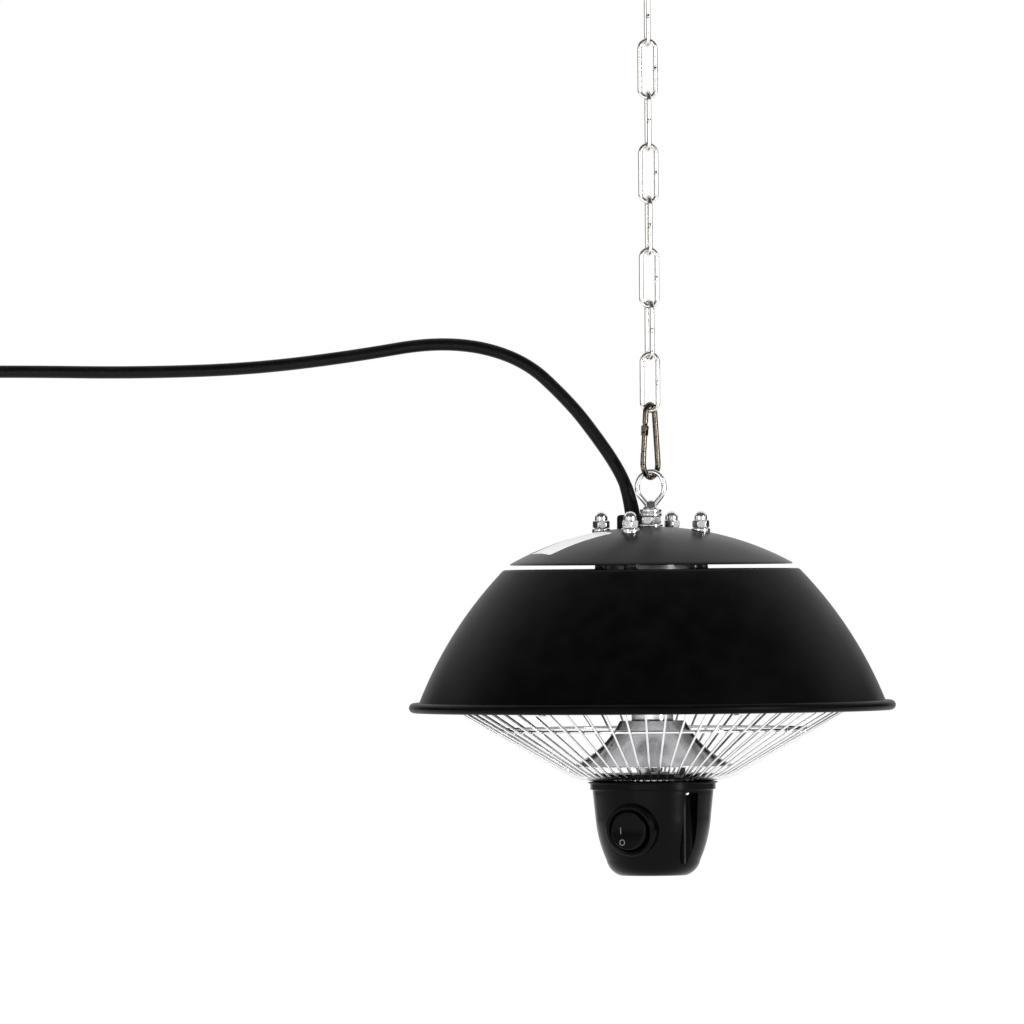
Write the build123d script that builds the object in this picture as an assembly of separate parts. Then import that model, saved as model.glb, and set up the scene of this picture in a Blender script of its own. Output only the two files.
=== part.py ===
from build123d import *
import math
import os

# Hanging patio heater: a black enamelled shade with a domed cap, carried by a link chain and a
# snap hook from a ceiling eye. A ring lamp glows under a polished reflector behind a wire guard,
# and a plastic cup with a round rocker switch closes the bottom.
# The origin is the ceiling plane on the screw's axis, +Z is up and the front is towards -Y.
# Heights of the head's pieces are named from the middle of the shade's rolled rim, upwards.

# Ceiling eye
screw_radius = 3.0
screw_length = 30.0
screw_tip = 8.0
screw_point_radius = 0.6
flange_radius = 14.0
flange_thickness = 3.0
hook_wire_radius = 2.5
hook_eye_radius = 10.0
hook_stem = 14.0
hook_stem_radius = 3.6

# Link chain
link_count = 8
link_wire_radius = 2.0
link_inner_length = 45.85
link_inner_width = 9.8
contact_gap = 0.3

# Snap hook
snap_wire_radius = 2.5
snap_length = 68.5
snap_top_width = 19.8
snap_bottom_width = 29.6
snap_turn = 58.0
snap_contact_gap = 0.8
gate_pin_drop = 14.0
tongue_thickness = 2.4
tongue_width = 4.8
tongue_above_pin = 4.2
tongue_below_pin = 3.0
gate_end_drop = 35.0
gate_radius = 2.4
gate_start_gap = 1.2
ear_gap = 0.1
ear_reach = 2.4
gate_pin_radius = 0.9
gate_pin_gap = 0.04
gate_pin_head = 1.6
gate_pin_head_height = 0.6
nose_gap = 0.35

# Eye nut on the head
eye_wire_radius = 2.25
eye_ring_radius = 11.0
eye_ring_gap = 0.45
eye_ring_rise = 22.0
eye_neck_radius = 5.6
eye_neck_top_radius = 3.4
eye_neck_height = 5.0
collar_radius = 9.5
collar_height = 6.2
lock_nut_flats = 17.0
lock_nut_height = 7.0
stud_washer_radius = 10.5
stud_washer_thickness = 2.0

# Shade, with its flat top, rounded shoulder, curved skirt and wired rim
rim_radius = 212.5
rim_roll_radius = 4.35
shade_height = 119.8
shoulder_radius = 4.4
skirt_top_radius = 130.9
skirt_top_drop = 2.0
skirt_bulge = 6.85
skirt_foot_inset = 7.6
skirt_foot_height = 0.9
sheet = 1.2

# Domed cap, and the slot that it leaves above the shade
dome_radius = 123.4
cap_gap = 5.0
dome_rise = 32.0

# Four cap bolts
bolt_circle_radius = 47.0
bolt_count = 4
bolt_radius = 4.0
bolt_gap = 0.3
acorn_flats = 13.0
acorn_hex_height = 7.0
acorn_height = 15.0
acorn_dome_radius = 5.6
acorn_bore_depth = 10.0
cap_washer_radius = 8.2
cap_washer_thickness = 1.6
spacer_radius = 6.0
seat_gap = 0.05
inner_nut_height = 6.5
stud_overhang = 1.5

# Terminal box between the cap and the shade
box_radius = 39.0
box_height = 26.0
box_wall = 1.2
block_length = 36.0
block_width = 20.0
block_height = 15.0
block_x = -21.0
pole_count = 3
pole_bore_radius = 2.0

# Cable clamp on the cap
clamp_width = 21.0
clamp_depth = 13.0
clamp_height = 10.5
clamp_x = -22.5
clamp_y = 6.7
clamp_corner = 2.5
clamp_shoulder = 4.5
clamp_screw_radius = 1.4
clamp_screw_head = 2.4
clamp_screw_head_height = 1.6
clamp_screw_length = 4.0
clamp_screw_inset = 3.6
clamp_screw_spacing = 6.4

# Mains lead: its exit, then each point's step from the one before, to the left and up
cord_radius = 5.45
cord_exit_x = -15.9
cord_exit_y = 14.0
cord_gap = 0.05
cap_hole_gap = 0.6
tail_gap = 0.3
bend_share = 0.45
lead_steps = [
    (-2.9, 18.9),
    (-9.7, 22.3),
    (-18.5, 27.5),
    (-23.0, 30.0),
    (-42.0, 40.0),
    (-66.0, 15.0),
    (-84.0, -14.0),
    (-88.0, -10.0),
    (-100.0, -2.5),
    (-98.0, 2.0),
    (-81.0, 0.0),
]

# The lead's stored coil, its tie and the mains plug
coil_radius = 56.0
coil_pitch = 11.9
coil_turns = 3.25
coil_tail = 50.0
coil_samples = 520
tie_width = 8.0
tie_thickness = 1.4
tie_gap = 0.3
plug_neck_radius = 6.8
plug_neck_length = 14.0
plug_neck_foot = 7.8
plug_neck_bulge = 1.95
plug_shoulder_length = 12.0
plug_radius = 18.0
plug_length = 45.0
plug_flat = 16.5
plug_pin_radius = 2.4
plug_pin_length = 19.0
plug_pin_spacing = 19.0
earth_width = 4.0
earth_thickness = 1.0
earth_length = 17.0

# Reflector under the shade
reflector_gap = 10.0
reflector_hole_radius = 16.5
reflector_flat_inset = 25.9
reflector_skirt_gap = 12.1538
reflector_rim_height = 50.0
reflector_bulge = 8.0
reflector_sheet = 0.8

# Ring lamp, with its two end caps at the back
lamp_ring_radius = 95.0
lamp_tube_radius = 5.5
lamp_tube_wall = 1.0
lamp_height = 38.0
lamp_opening_angle = 22.0
filament_radius = 1.2
holder_inner_angle = 10.0
holder_radius = 8.0
holder_gap_angle = 0.06
holder_clip_angle = 14.5
hanger_width = 10.0
hanger_thickness = 1.0
hanger_gap = 0.1
lamp_lead_radius = 1.6
lamp_lead_angle = 19.5
lamp_lead_bend = 4.5
lamp_lead_box_radius = 30.0
lead_hole_gap = 0.4
lead_end_rise = 4.0

# Centre rod, column and flared cone
rod_radius = 5.0
rod_gap = 0.05
rod_clearance = 0.3
rod_end_gap = 0.3
rod_grip = 4.7
rod_bottom = -76.0
column_radius = 18.5
column_wall = 1.0
cone_top_height = -12.6
cone_top_radius = 28.4
cone_mid_height = -32.5
cone_mid_radius = 43.3
cone_bottom_height = -51.5
cone_bottom_radius = 70.7
cone_sheet = 0.8
rod_nut_flats = 16.0
rod_nut_height = 7.0
rod_washer_radius = 13.0
rod_washer_thickness = 1.6

# Leads to the switch, inside the column and across the open gap under the cone
white_lead_radius = 2.2
white_column_x = -3.1
white_column_y = -13.7
white_gap_x = -2.1
white_gap_y = -19.4
sleeve_radius = 3.9
sleeve_top_radius = 2.9
sleeve_height = 14.0
black_lead_radius = 2.8
black_column_x = 12.5
black_column_y = -2.7
black_gap_x = 26.6
black_gap_y = 2.6
lead_spread_drop = 26.0
lead_cup_drop = 14.0
lead_cup_fall = 12.0

# Wire guard
guard_wire_count = 60
guard_wire_start = 2.5
guard_wire_radius = 1.0
guard_wire_sides = 6
guard_top_inset = 41.0
guard_top_height = -3.4
guard_wire_end_gap = 2.1
guard_bend_radius = 69.8
guard_bend_height = -61.1
guard_end_radius = 50.6
guard_foot_drop = 3.5
guard_ring_wire_radius = 1.5
guard_mid_ring_radius = 136.5
guard_low_ring_radius = 49.0
guard_gap = 0.05
clip_count = 6
clip_start = -11.8
clip_width = 6.0
clip_thickness = 1.2
clip_reach = 4.0
clip_step = 6.0
clip_foot_height = 9.0
clip_top_height = 23.0
clip_seat_gap = 0.15

# Switch cup and its lid
lid_radius = 52.4
lid_top_height = -58.5
lid_rim_thickness = 3.8
lid_boss_radius = 47.2
cup_flange_radius = 56.7
cup_flange_thickness = 1.0
cup_top_height = -65.7
cup_collar_radius = 54.8
cup_collar_height = 5.6
cup_body_radius = 52.8
cup_taper_radius = 50.4
cup_taper_height = -96.0
cup_low_radius = 41.0
cup_low_height = -134.0
cup_bulge = 1.7
cup_bottom_height = -147.4
cup_bottom_radius = 29.0
cup_corner_bulge = 2.4
cup_wall = 2.5
groove_count = 2
groove_angle = 63.0
groove_radius = 7.2
groove_centre_radius = 46.5
groove_top_height = -75.0
cup_screw_circle = 44.0
cup_screw_radius = 2.0
cup_screw_head = 3.6
cup_screw_head_height = 2.6
cup_screw_length = 14.0

# Round rocker switch
switch_height = -107.5
switch_tilt = 10.0
boss_radius = 23.0
boss_proud = 4.0
boss_root = 12.5
bezel_flange_radius = 22.3
bezel_flange_thickness = 1.6
bezel_barrel_radius = 20.9
bezel_inner_radius = 18.4
bezel_depth = 12.0
bezel_back = 2.0
bezel_gap = 0.1
rocker_radius = 17.6
rocker_face_radius = 16.4
rocker_pivot_depth = 3.0
rocker_back = 4.0
rocker_side = 6.5
rocker_middle = 4.5
rocker_rest_tilt = 7.0
trunnion_radius = 1.5
trunnion_length = 1.6
trunnion_gap = 0.05
trunnion_end_gap = 0.15
switch_body_length = 26.0
switch_body_width = 20.0
switch_body_depth = 15.0
blade_length = 8.0
blade_width = 4.8
blade_thickness = 0.8
blade_spacing = 14.0

# The head is turned about the chain's line
head_turn = -23.0

# Sides of the thin wires' sections, and how far a cut runs past what it cuts
wire_sides = 8
ring_sides = 6
bead_sides = 12
inner_lead_sides = 8
lead_sides = 12
coil_sides = 8
overrun = 5.0

# Heights down the chain, measured from the ceiling
link_reach = link_inner_length + 2 * link_wire_radius
link_pitch = link_inner_length - contact_gap
hook_eye_z = -(flange_thickness + hook_stem + hook_eye_radius)
hook_wire_z = hook_eye_z - hook_eye_radius
first_link_top = hook_wire_z + hook_wire_radius + link_wire_radius + contact_gap
chain_end_z = first_link_top - link_pitch * (link_count - 1) - link_reach
snap_top_z = chain_end_z + link_wire_radius + snap_wire_radius + snap_contact_gap
snap_bottom_z = snap_top_z - (snap_length - 2 * snap_wire_radius)
eye_top_z = snap_bottom_z + snap_wire_radius + eye_wire_radius + eye_ring_gap

# Heights and radii on the head, measured from the rolled rim
dome_edge_height = shade_height + cap_gap
skirt_top_height = shade_height - skirt_top_drop
reflector_flat_radius = skirt_top_radius - reflector_flat_inset
guard_top_radius = rim_radius - guard_top_inset
dome_top = dome_edge_height + dome_rise
dome_sphere = (dome_radius**2 + dome_rise**2) / (2 * dome_rise)
lock_nut_z = dome_top + stud_washer_thickness
collar_z = lock_nut_z + lock_nut_height
collar_top = collar_z + collar_height
rod_top = collar_z + rod_grip
eye_ring_z = collar_top + eye_ring_rise
head_z = eye_top_z - (eye_ring_z + eye_ring_radius)
clamp_top = dome_top + clamp_height
shade_under = shade_height - sheet
box_floor = shade_height + box_wall
reflector_top = shade_under - reflector_gap
reflector_under = reflector_top - reflector_sheet
cone_plate_under = cone_top_height - cone_sheet
lid_rim_under = lid_top_height - lid_rim_thickness
lid_boss_under = cup_top_height + seat_gap
stud_bottom = reflector_under - inner_nut_height - stud_overhang


# Whole-model helpers
def on_head(shape):
    return Pos(0, 0, head_z) * Rot(0, 0, head_turn) * shape


def rod(radius, low, high):
    return Pos(0, 0, low) * extrude(Circle(radius), high - low)


def tube(outer, inner, low, high):
    return rod(outer, low, high) - rod(inner, low - overrun, high + overrun)


def nut(flats, bore, low, high):
    hexagon = RegularPolygon(flats / 2, 6, major_radius=False)
    body = Pos(0, 0, low) * extrude(hexagon, high - low)
    return body - rod(bore, low - overrun, high + overrun)


def around(shape, radius, count, start=0.0):
    turns = [start + 360.0 * index / count for index in range(count)]
    return [Rot(0, 0, turn) * Pos(0, -radius, 0) * shape for turn in turns]


def group(shapes):
    return Compound(children=[solid for shape in shapes for solid in shape.solids()])


def without(body, cuts):
    for cut in cuts:
        body -= cut
    return body


def spun(profile, angle=360.0):
    return revolve(Plane.XZ * profile, Axis.Z, revolution_arc=angle)


def outline(*curves):
    return make_face(Wire(curves))


def strip(*points):
    return make_face(Polyline(*points, close=True))


def faceted_wire(path, radius, sides):
    return sweep(Plane(path @ 0, z_dir=path % 0) * RegularPolygon(radius, sides), path=path)


def faceted_ring(ring_radius, height, radius, sides):
    return spun(Pos(ring_radius, height) * RegularPolygon(radius, sides))


def corner_radii(points):
    radii = []
    for before, corner, after in zip(points, points[1:], points[2:]):
        turn = (corner - before).get_angle(after - corner)
        run = min((corner - before).length, (after - corner).length)
        radii.append(bend_share * run / math.tan(math.radians(turn / 2)))
    return radii


def bent_run(points):
    return FilletPolyline(*points, radius=corner_radii(points))


# The point beside the middle of a chord, and the circle through three points
def bulged(first, last, bulge):
    run = math.dist(first, last)
    across = ((first[1] - last[1]) / run, (last[0] - first[0]) / run)
    middle = ((first[0] + last[0]) / 2, (first[1] + last[1]) / 2)
    return (middle[0] + bulge * across[0], middle[1] + bulge * across[1])


def arc_circle(first, last, bulge):
    half = math.dist(first, last) / 2
    radius = (half**2 + bulge**2) / (2 * bulge)
    x, z = bulged(first, last, bulge - radius)
    return x, z, radius


# Ceiling eye: flange, stem and ring forged in one, with the screw's shank standing up
def ceiling_hook():
    flange = rod(flange_radius, -flange_thickness, 0)
    shank = rod(screw_radius, 0, screw_length)
    point = Pos(0, 0, screw_length + screw_tip / 2) * Cone(screw_radius, screw_point_radius, screw_tip)
    stem = rod(hook_stem_radius, hook_eye_z + hook_eye_radius - hook_wire_radius / 2, -flange_thickness)
    ring = Rot(90, 0, 0) * faceted_ring(hook_eye_radius, 0, hook_wire_radius, wire_sides)
    return flange + shank + point + stem + Pos(0, 0, hook_eye_z) * ring


# One chain link, its top wire at the origin and its plane XZ: two legs and two half-round bends
def chain_link():
    bend = link_inner_width / 2 + link_wire_radius
    low = bend - link_reach
    path = Wire([
        Line((bend, 0, -bend), (bend, 0, low)),
        ThreePointArc((bend, 0, low), (0, 0, -link_reach), (-bend, 0, low)),
        Line((-bend, 0, low), (-bend, 0, -bend)),
        ThreePointArc((-bend, 0, -bend), (0, 0, 0), (bend, 0, -bend)),
    ])
    return faceted_wire(path, link_wire_radius, wire_sides)


# Snap hook: a pear-shaped wire with a flat tongue, and a forked gate on a pin that shuts on its nose
snap_top_bend = snap_top_width / 2 - snap_wire_radius
snap_bottom_bend = snap_bottom_width / 2 - snap_wire_radius
snap_top_centre = snap_top_z - snap_top_bend
snap_bottom_centre = snap_bottom_z + snap_bottom_bend
snap_flare = math.asin((snap_bottom_bend - snap_top_bend) / (snap_top_centre - snap_bottom_centre))


def snap_corner(bend, centre, side):
    return Vector(side * bend * math.cos(snap_flare), 0, centre + bend * math.sin(snap_flare))


snap_left_top = snap_corner(snap_top_bend, snap_top_centre, -1)
snap_left_bottom = snap_corner(snap_bottom_bend, snap_bottom_centre, -1)
snap_right_top = snap_corner(snap_top_bend, snap_top_centre, 1)
snap_right_bottom = snap_corner(snap_bottom_bend, snap_bottom_centre, 1)
gate_line = (snap_left_bottom - snap_left_top).normalized()
gate_pin_place = snap_left_top + gate_line * gate_pin_drop


# A place on the gate's line, with Z along the line and X across the hook's plane
def gate_frame(drop):
    return Plane(snap_left_top + gate_line * drop, x_dir=(0, 1, 0), z_dir=gate_line)


def across_gate(radius, length):
    return Pos(*gate_pin_place) * Rot(90, 0, 0) * Cylinder(radius, length)


def in_snap_plane(shape):
    return Rot(0, 0, snap_turn) * shape


def snap_body():
    tongue_start = gate_pin_drop - tongue_above_pin
    nose_drop = gate_end_drop + nose_gap
    path = Wire([
        Line(snap_left_top + gate_line * tongue_start, snap_left_top),
        ThreePointArc(snap_left_top, Vector(0, 0, snap_top_z), snap_right_top),
        Line(snap_right_top, snap_right_bottom),
        ThreePointArc(snap_right_bottom, Vector(0, 0, snap_bottom_z), snap_left_bottom),
        Line(snap_left_bottom, snap_left_top + gate_line * nose_drop),
    ])
    wire = faceted_wire(path, snap_wire_radius, wire_sides)
    tongue = extrude(Rectangle(tongue_thickness, tongue_width), tongue_above_pin + tongue_below_pin)
    hole = across_gate(gate_pin_radius + gate_pin_gap, snap_wire_radius * 2)
    return in_snap_plane(wire + gate_frame(tongue_start) * tongue - hole)


def snap_gate():
    start = gate_pin_drop + tongue_below_pin + gate_start_gap
    bar = gate_frame(start) * extrude(Circle(gate_radius), gate_end_drop - start)
    ear_start = gate_pin_drop - ear_reach
    ear_thickness = gate_radius - tongue_thickness / 2 - ear_gap
    slab = extrude(Rectangle(ear_thickness, tongue_width), start + ear_reach - ear_start)
    inner_gap = tongue_thickness / 2 + ear_gap + ear_thickness / 2
    ears = [gate_frame(ear_start) * Pos(side * inner_gap, 0, 0) * slab for side in (-1, 1)]
    hole = across_gate(gate_pin_radius + gate_pin_gap, 2 * gate_radius + overrun)
    return in_snap_plane(bar + ears[0] + ears[1] - hole)


def snap_pin():
    shank = across_gate(gate_pin_radius, 2 * (gate_radius + ear_gap) + gate_pin_head_height)
    lift = gate_radius + ear_gap + gate_pin_head_height / 2
    heads = [Pos(0, side * lift, 0) * across_gate(gate_pin_head, gate_pin_head_height) for side in (-1, 1)]
    return in_snap_plane(shank + heads[0] + heads[1])


# Eye nut: a drop-shaped ring that runs down into a neck and a round collar, bored for the rod
def eye_nut():
    spread = math.acos(eye_ring_radius / eye_ring_rise)
    side = eye_ring_radius * math.sin(spread)
    side_z = eye_ring_z - eye_ring_radius * math.cos(spread)
    foot = (0, 0, collar_top)
    crown = (0, 0, eye_ring_z + eye_ring_radius)
    arc = ThreePointArc((side, 0, side_z), crown, (-side, 0, side_z))
    hoop = Wire([Line(foot, (side, 0, side_z)), arc])
    ring = faceted_wire(hoop, eye_wire_radius, wire_sides)
    leg = faceted_wire(Wire([Line((-side, 0, side_z), foot)]), eye_wire_radius, wire_sides)
    neck = Pos(0, 0, collar_top + eye_neck_height / 2)
    neck = neck * Cone(eye_neck_radius, eye_neck_top_radius, eye_neck_height)
    collar = rod(collar_radius, collar_z, collar_top)
    bore = rod(rod_radius + rod_gap, collar_z - overrun, rod_top + rod_end_gap)
    return Rot(0, 0, -head_turn) * (ring + leg + neck + collar - bore)


def eye_lock_nut():
    return nut(lock_nut_flats, rod_radius + rod_gap, lock_nut_z, collar_z)


def eye_washer():
    return tube(stud_washer_radius, rod_radius + rod_clearance, dome_top, lock_nut_z)


def hanging_rod():
    return rod(rod_radius, rod_bottom, rod_top)


def through_rod(low, high):
    return rod(rod_radius + rod_clearance, low - overrun, high + overrun)


# Domed cap and what its four bolts hold
def cap_ball(radius):
    return Pos(0, 0, dome_top - dome_sphere) * Sphere(radius)


def cap_height_at(radius):
    return dome_top - dome_sphere + math.sqrt(dome_sphere**2 - radius**2)


washer_top = cap_height_at(bolt_circle_radius - cap_washer_radius) + cap_washer_thickness
washer_low = cap_height_at(bolt_circle_radius + cap_washer_radius)


def bolt_holes(low, high):
    return around(rod(bolt_radius + bolt_gap, low - overrun, high + overrun), bolt_circle_radius, bolt_count)


def at_bolt(ball):
    return Pos(0, bolt_circle_radius, 0) * ball


def at_bolts(shape):
    return group(around(shape, bolt_circle_radius, bolt_count))


def top_cap():
    shell = cap_ball(dome_sphere) - cap_ball(dome_sphere - sheet)
    cap = shell & rod(dome_radius, dome_edge_height, dome_top + overrun)
    cap = without(cap, [through_rod(dome_edge_height, dome_top), *bolt_holes(dome_edge_height, dome_top)])
    cap -= along_cable(cord_radius + cap_hole_gap, dome_edge_height, clamp_top)
    screw = rod(clamp_screw_radius + seat_gap, dome_edge_height, clamp_top)
    return without(cap, [Pos(*place) * screw for place in clamp_screw_places()])


def acorn_nuts():
    hexagon = RegularPolygon(acorn_flats / 2, 6, major_radius=False)
    base = Pos(0, 0, washer_top) * extrude(hexagon, acorn_hex_height)
    shoulder = washer_top + acorn_height - acorn_dome_radius
    dome = rod(acorn_dome_radius, washer_top, shoulder) + Pos(0, 0, shoulder) * Sphere(acorn_dome_radius)
    bore = rod(bolt_radius + rod_gap, washer_top - overrun, washer_top + acorn_bore_depth)
    return at_bolts(base + dome - bore)


# A sealing washer under each domed nut, with its underside cut to the cap's curve
def cap_washers():
    disc = tube(cap_washer_radius, bolt_radius + bolt_gap, washer_low, washer_top)
    return at_bolts(disc - at_bolt(cap_ball(dome_sphere + seat_gap)))


def cap_spacers():
    post = tube(spacer_radius, bolt_radius + bolt_gap, shade_height, dome_top)
    return at_bolts(post & at_bolt(cap_ball(dome_sphere - sheet - seat_gap)))


def cap_studs():
    return at_bolts(rod(bolt_radius, stud_bottom, washer_top + acorn_bore_depth - rod_end_gap))


def reflector_spacers():
    return at_bolts(tube(spacer_radius, bolt_radius + bolt_gap, reflector_top, shade_under))


def inner_nuts():
    low = reflector_under - inner_nut_height
    return at_bolts(nut(acorn_flats, bolt_radius + rod_gap, low, reflector_under))


# Cable clamp on the cap, and the end of the cable that runs down into the terminal box
cable_lean = Vector(lead_steps[0][0], 0, lead_steps[0][1]).normalized()


def along_cable(radius, low, high):
    foot = Vector(cord_exit_x, cord_exit_y, clamp_top) + cable_lean * ((low - clamp_top) / cable_lean.Z)
    straight = Plane(foot, z_dir=cable_lean) * extrude(Circle(radius), (high - low) / cable_lean.Z)
    return Rot(0, 0, -head_turn) * straight


def clamp_screw_places():
    x = clamp_x - clamp_width / 2 + clamp_screw_inset
    return [(x, clamp_y + side * clamp_screw_spacing / 2, 0) for side in (-1, 1)]


def cable_clamp():
    low = cap_height_at(box_radius)
    side = Rectangle(clamp_width, clamp_top - low)
    shoulder = sorted(side.vertices(), key=lambda corner: corner.X - corner.Y)[0]
    side = Plane.XZ * fillet(shoulder, clamp_shoulder)
    block = Pos(0, clamp_depth / 2, (clamp_top + low) / 2) * extrude(side, clamp_depth)
    plan = Pos(0, 0, low) * extrude(RectangleRounded(clamp_width, clamp_depth, clamp_corner), clamp_top - low)
    block = Pos(clamp_x, clamp_y, 0) * (block & plan) - cap_ball(dome_sphere + seat_gap)
    block -= along_cable(cord_radius + cord_gap, dome_edge_height, clamp_top + overrun)
    screw = rod(clamp_screw_radius + seat_gap, dome_edge_height, clamp_top + overrun)
    head = rod(clamp_screw_head + bolt_gap, clamp_screw_seat, clamp_top + overrun)
    return without(block, [Pos(*place) * (screw + head) for place in clamp_screw_places()])


clamp_screw_seat = clamp_top - clamp_shoulder


def clamp_screws():
    head = rod(clamp_screw_head, clamp_screw_seat, clamp_screw_seat + clamp_screw_head_height)
    shank = rod(clamp_screw_radius, cap_height_at(box_radius) - clamp_screw_length, clamp_screw_seat)
    return group([Pos(*place) * (head + shank) for place in clamp_screw_places()])


def cable_tail():
    tail_end = box_floor + block_height + tail_gap + cord_radius * abs(cable_lean.X)
    return along_cable(cord_radius, tail_end, clamp_top)


# Terminal box on the shade's flat top, with a block of three terminals
def lead_places():
    lamp_ends = [Rot(0, 0, side * lamp_lead_angle) * Pos(0, lamp_lead_box_radius, 0) for side in (-1, 1)]
    places = [(place, lamp_lead_radius) for place in lamp_ends]
    places.append((Pos(white_column_x, white_column_y, 0), white_lead_radius))
    places.append((Pos(black_column_x, black_column_y, 0), black_lead_radius))
    return places


def lead_holes(low, high):
    sizes = [(place, radius + lead_hole_gap) for place, radius in lead_places()]
    return [place * rod(radius, low - overrun, high + overrun) for place, radius in sizes]


def terminal_box():
    shell = rod(box_radius, shade_height, shade_height + box_height)
    shell -= rod(box_radius - box_wall, box_floor, shade_height + box_height + overrun)
    return without(shell, [through_rod(shade_height, box_floor), *lead_holes(shade_height, shade_height)])


def terminal_block():
    body = Pos(block_x, 0, box_floor) * extrude(Rectangle(block_width, block_length), block_height)
    pitch = block_length / pole_count
    middle = box_floor + block_height / 2
    poles = [Pos(block_x, (index - (pole_count - 1) / 2) * pitch, middle) for index in range(pole_count)]
    bore = Rot(0, 90, 0) * Cylinder(pole_bore_radius, block_width + overrun)
    return without(body, [place * bore for place in poles])


# Shade: the sheet's outer face, and the same face set in by a depth
skirt_top = (skirt_top_radius, skirt_top_height)
skirt_foot = (rim_radius - skirt_foot_inset, skirt_foot_height)
skirt_x, skirt_z, skirt_radius = arc_circle(skirt_top, skirt_foot, skirt_bulge)
shoulder_z = shade_height - shoulder_radius
shoulder_x = skirt_x + math.sqrt((skirt_radius - shoulder_radius) ** 2 - (shoulder_z - skirt_z) ** 2)
shoulder_angle = math.atan2(shoulder_z - skirt_z, shoulder_x - skirt_x)
foot_angle = math.atan2(skirt_foot[1] - skirt_z, skirt_foot[0] - skirt_x)


def on_circle(x, z, radius, angle):
    return (x + radius * math.cos(angle), z + radius * math.sin(angle))


def shade_face_curves(depth):
    bend = shoulder_radius - depth
    curve = skirt_radius - depth
    crown = (shoulder_x, shoulder_z + bend)
    bend_middle = on_circle(shoulder_x, shoulder_z, bend, (shoulder_angle + math.pi / 2) / 2)
    bend_end = on_circle(skirt_x, skirt_z, curve, shoulder_angle)
    skirt_middle = on_circle(skirt_x, skirt_z, curve, (shoulder_angle + foot_angle) / 2)
    foot = on_circle(skirt_x, skirt_z, curve, foot_angle)
    shoulder = ThreePointArc(crown, bend_middle, bend_end)
    skirt = ThreePointArc(bend_end, skirt_middle, foot)
    return crown, foot, [Line((0, shoulder_z + bend), crown), shoulder, skirt]


def skirt_inner_radius(height):
    return skirt_x + math.sqrt((skirt_radius - sheet) ** 2 - (height - skirt_z) ** 2)


def shade():
    outer_crown, outer_foot, outer = shade_face_curves(0)
    inner_crown, inner_foot, inner = shade_face_curves(sheet)
    axis_line = Line((0, inner_crown[1]), (0, outer_crown[1]))
    shell = spun(outline(axis_line, *outer, Line(outer_foot, inner_foot), *inner))
    bead = faceted_ring(rim_radius - rim_roll_radius, 0, rim_roll_radius, bead_sides)
    holes = [*bolt_holes(shade_under, shade_height), *lead_holes(shade_under, shade_height)]
    return without(shell + bead, [through_rod(shade_under, shade_height), *holes])


def reflector():
    rim = skirt_inner_radius(reflector_rim_height) - reflector_skirt_gap
    under_flat = (reflector_flat_radius, reflector_under)
    under_rim = (rim, reflector_rim_height)
    top_flat = (reflector_flat_radius + reflector_sheet / 2, reflector_top)
    top_rim = (rim + reflector_sheet, reflector_rim_height)
    dish = spun(outline(
        Line((reflector_hole_radius, reflector_under), under_flat),
        ThreePointArc(under_flat, bulged(under_flat, under_rim, reflector_bulge), under_rim),
        Line(under_rim, top_rim),
        ThreePointArc(top_rim, bulged(top_flat, top_rim, reflector_bulge), top_flat),
        Line(top_flat, (reflector_hole_radius, reflector_top)),
        Line((reflector_hole_radius, reflector_top), (reflector_hole_radius, reflector_under)),
    ))
    hole = rod(lamp_lead_radius + lead_hole_gap, reflector_under - overrun, shade_under)
    lead_cuts = [Rot(0, 0, side * lamp_lead_angle) * Pos(0, lamp_ring_radius, 0) * hole for side in (-1, 1)]
    return without(dish, [*bolt_holes(reflector_under, reflector_top), *lead_cuts])


# Ring lamp: a stretch of a ring about the axis, from one angle to another, 0 at the back
def ring_stretch(section, start, end):
    return Rot(0, 0, 90 + start) * spun(Pos(lamp_ring_radius, lamp_height) * section, end - start)


def lamp_tube():
    bore = RegularPolygon(lamp_tube_radius - lamp_tube_wall, wire_sides)
    wall = RegularPolygon(lamp_tube_radius, wire_sides) - bore
    return ring_stretch(wall, lamp_opening_angle, 360 - lamp_opening_angle)


def lamp_filament():
    section = RegularPolygon(filament_radius, ring_sides)
    return ring_stretch(section, lamp_opening_angle, 360 - lamp_opening_angle)


def lamp_holders():
    end = lamp_opening_angle - holder_gap_angle
    starts = (holder_inner_angle, -end)
    run = end - holder_inner_angle
    return group([ring_stretch(Circle(holder_radius), start, start + run) for start in starts])


# Each hanger is a round clip with a flat strap that stands up to the reflector
def hanger(inner_radius, angle):
    half = math.degrees(hanger_width / 2 / lamp_ring_radius)
    band = Circle(inner_radius + hanger_thickness) - Circle(inner_radius)
    clip = ring_stretch(band, angle - half, angle + half)
    low = lamp_height + inner_radius + hanger_thickness / 2
    plate = extrude(Rectangle(hanger_width, hanger_thickness), reflector_under - seat_gap - low)
    return clip + Rot(0, 0, angle) * Pos(0, lamp_ring_radius, low) * plate


def lamp_hangers():
    tube_clips = [hanger(lamp_tube_radius + hanger_gap, angle) for angle in (90, 180, 270)]
    ends = (-holder_clip_angle, holder_clip_angle)
    holder_clips = [hanger(holder_radius + hanger_gap, angle) for angle in ends]
    return group([*tube_clips, *holder_clips])


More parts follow.
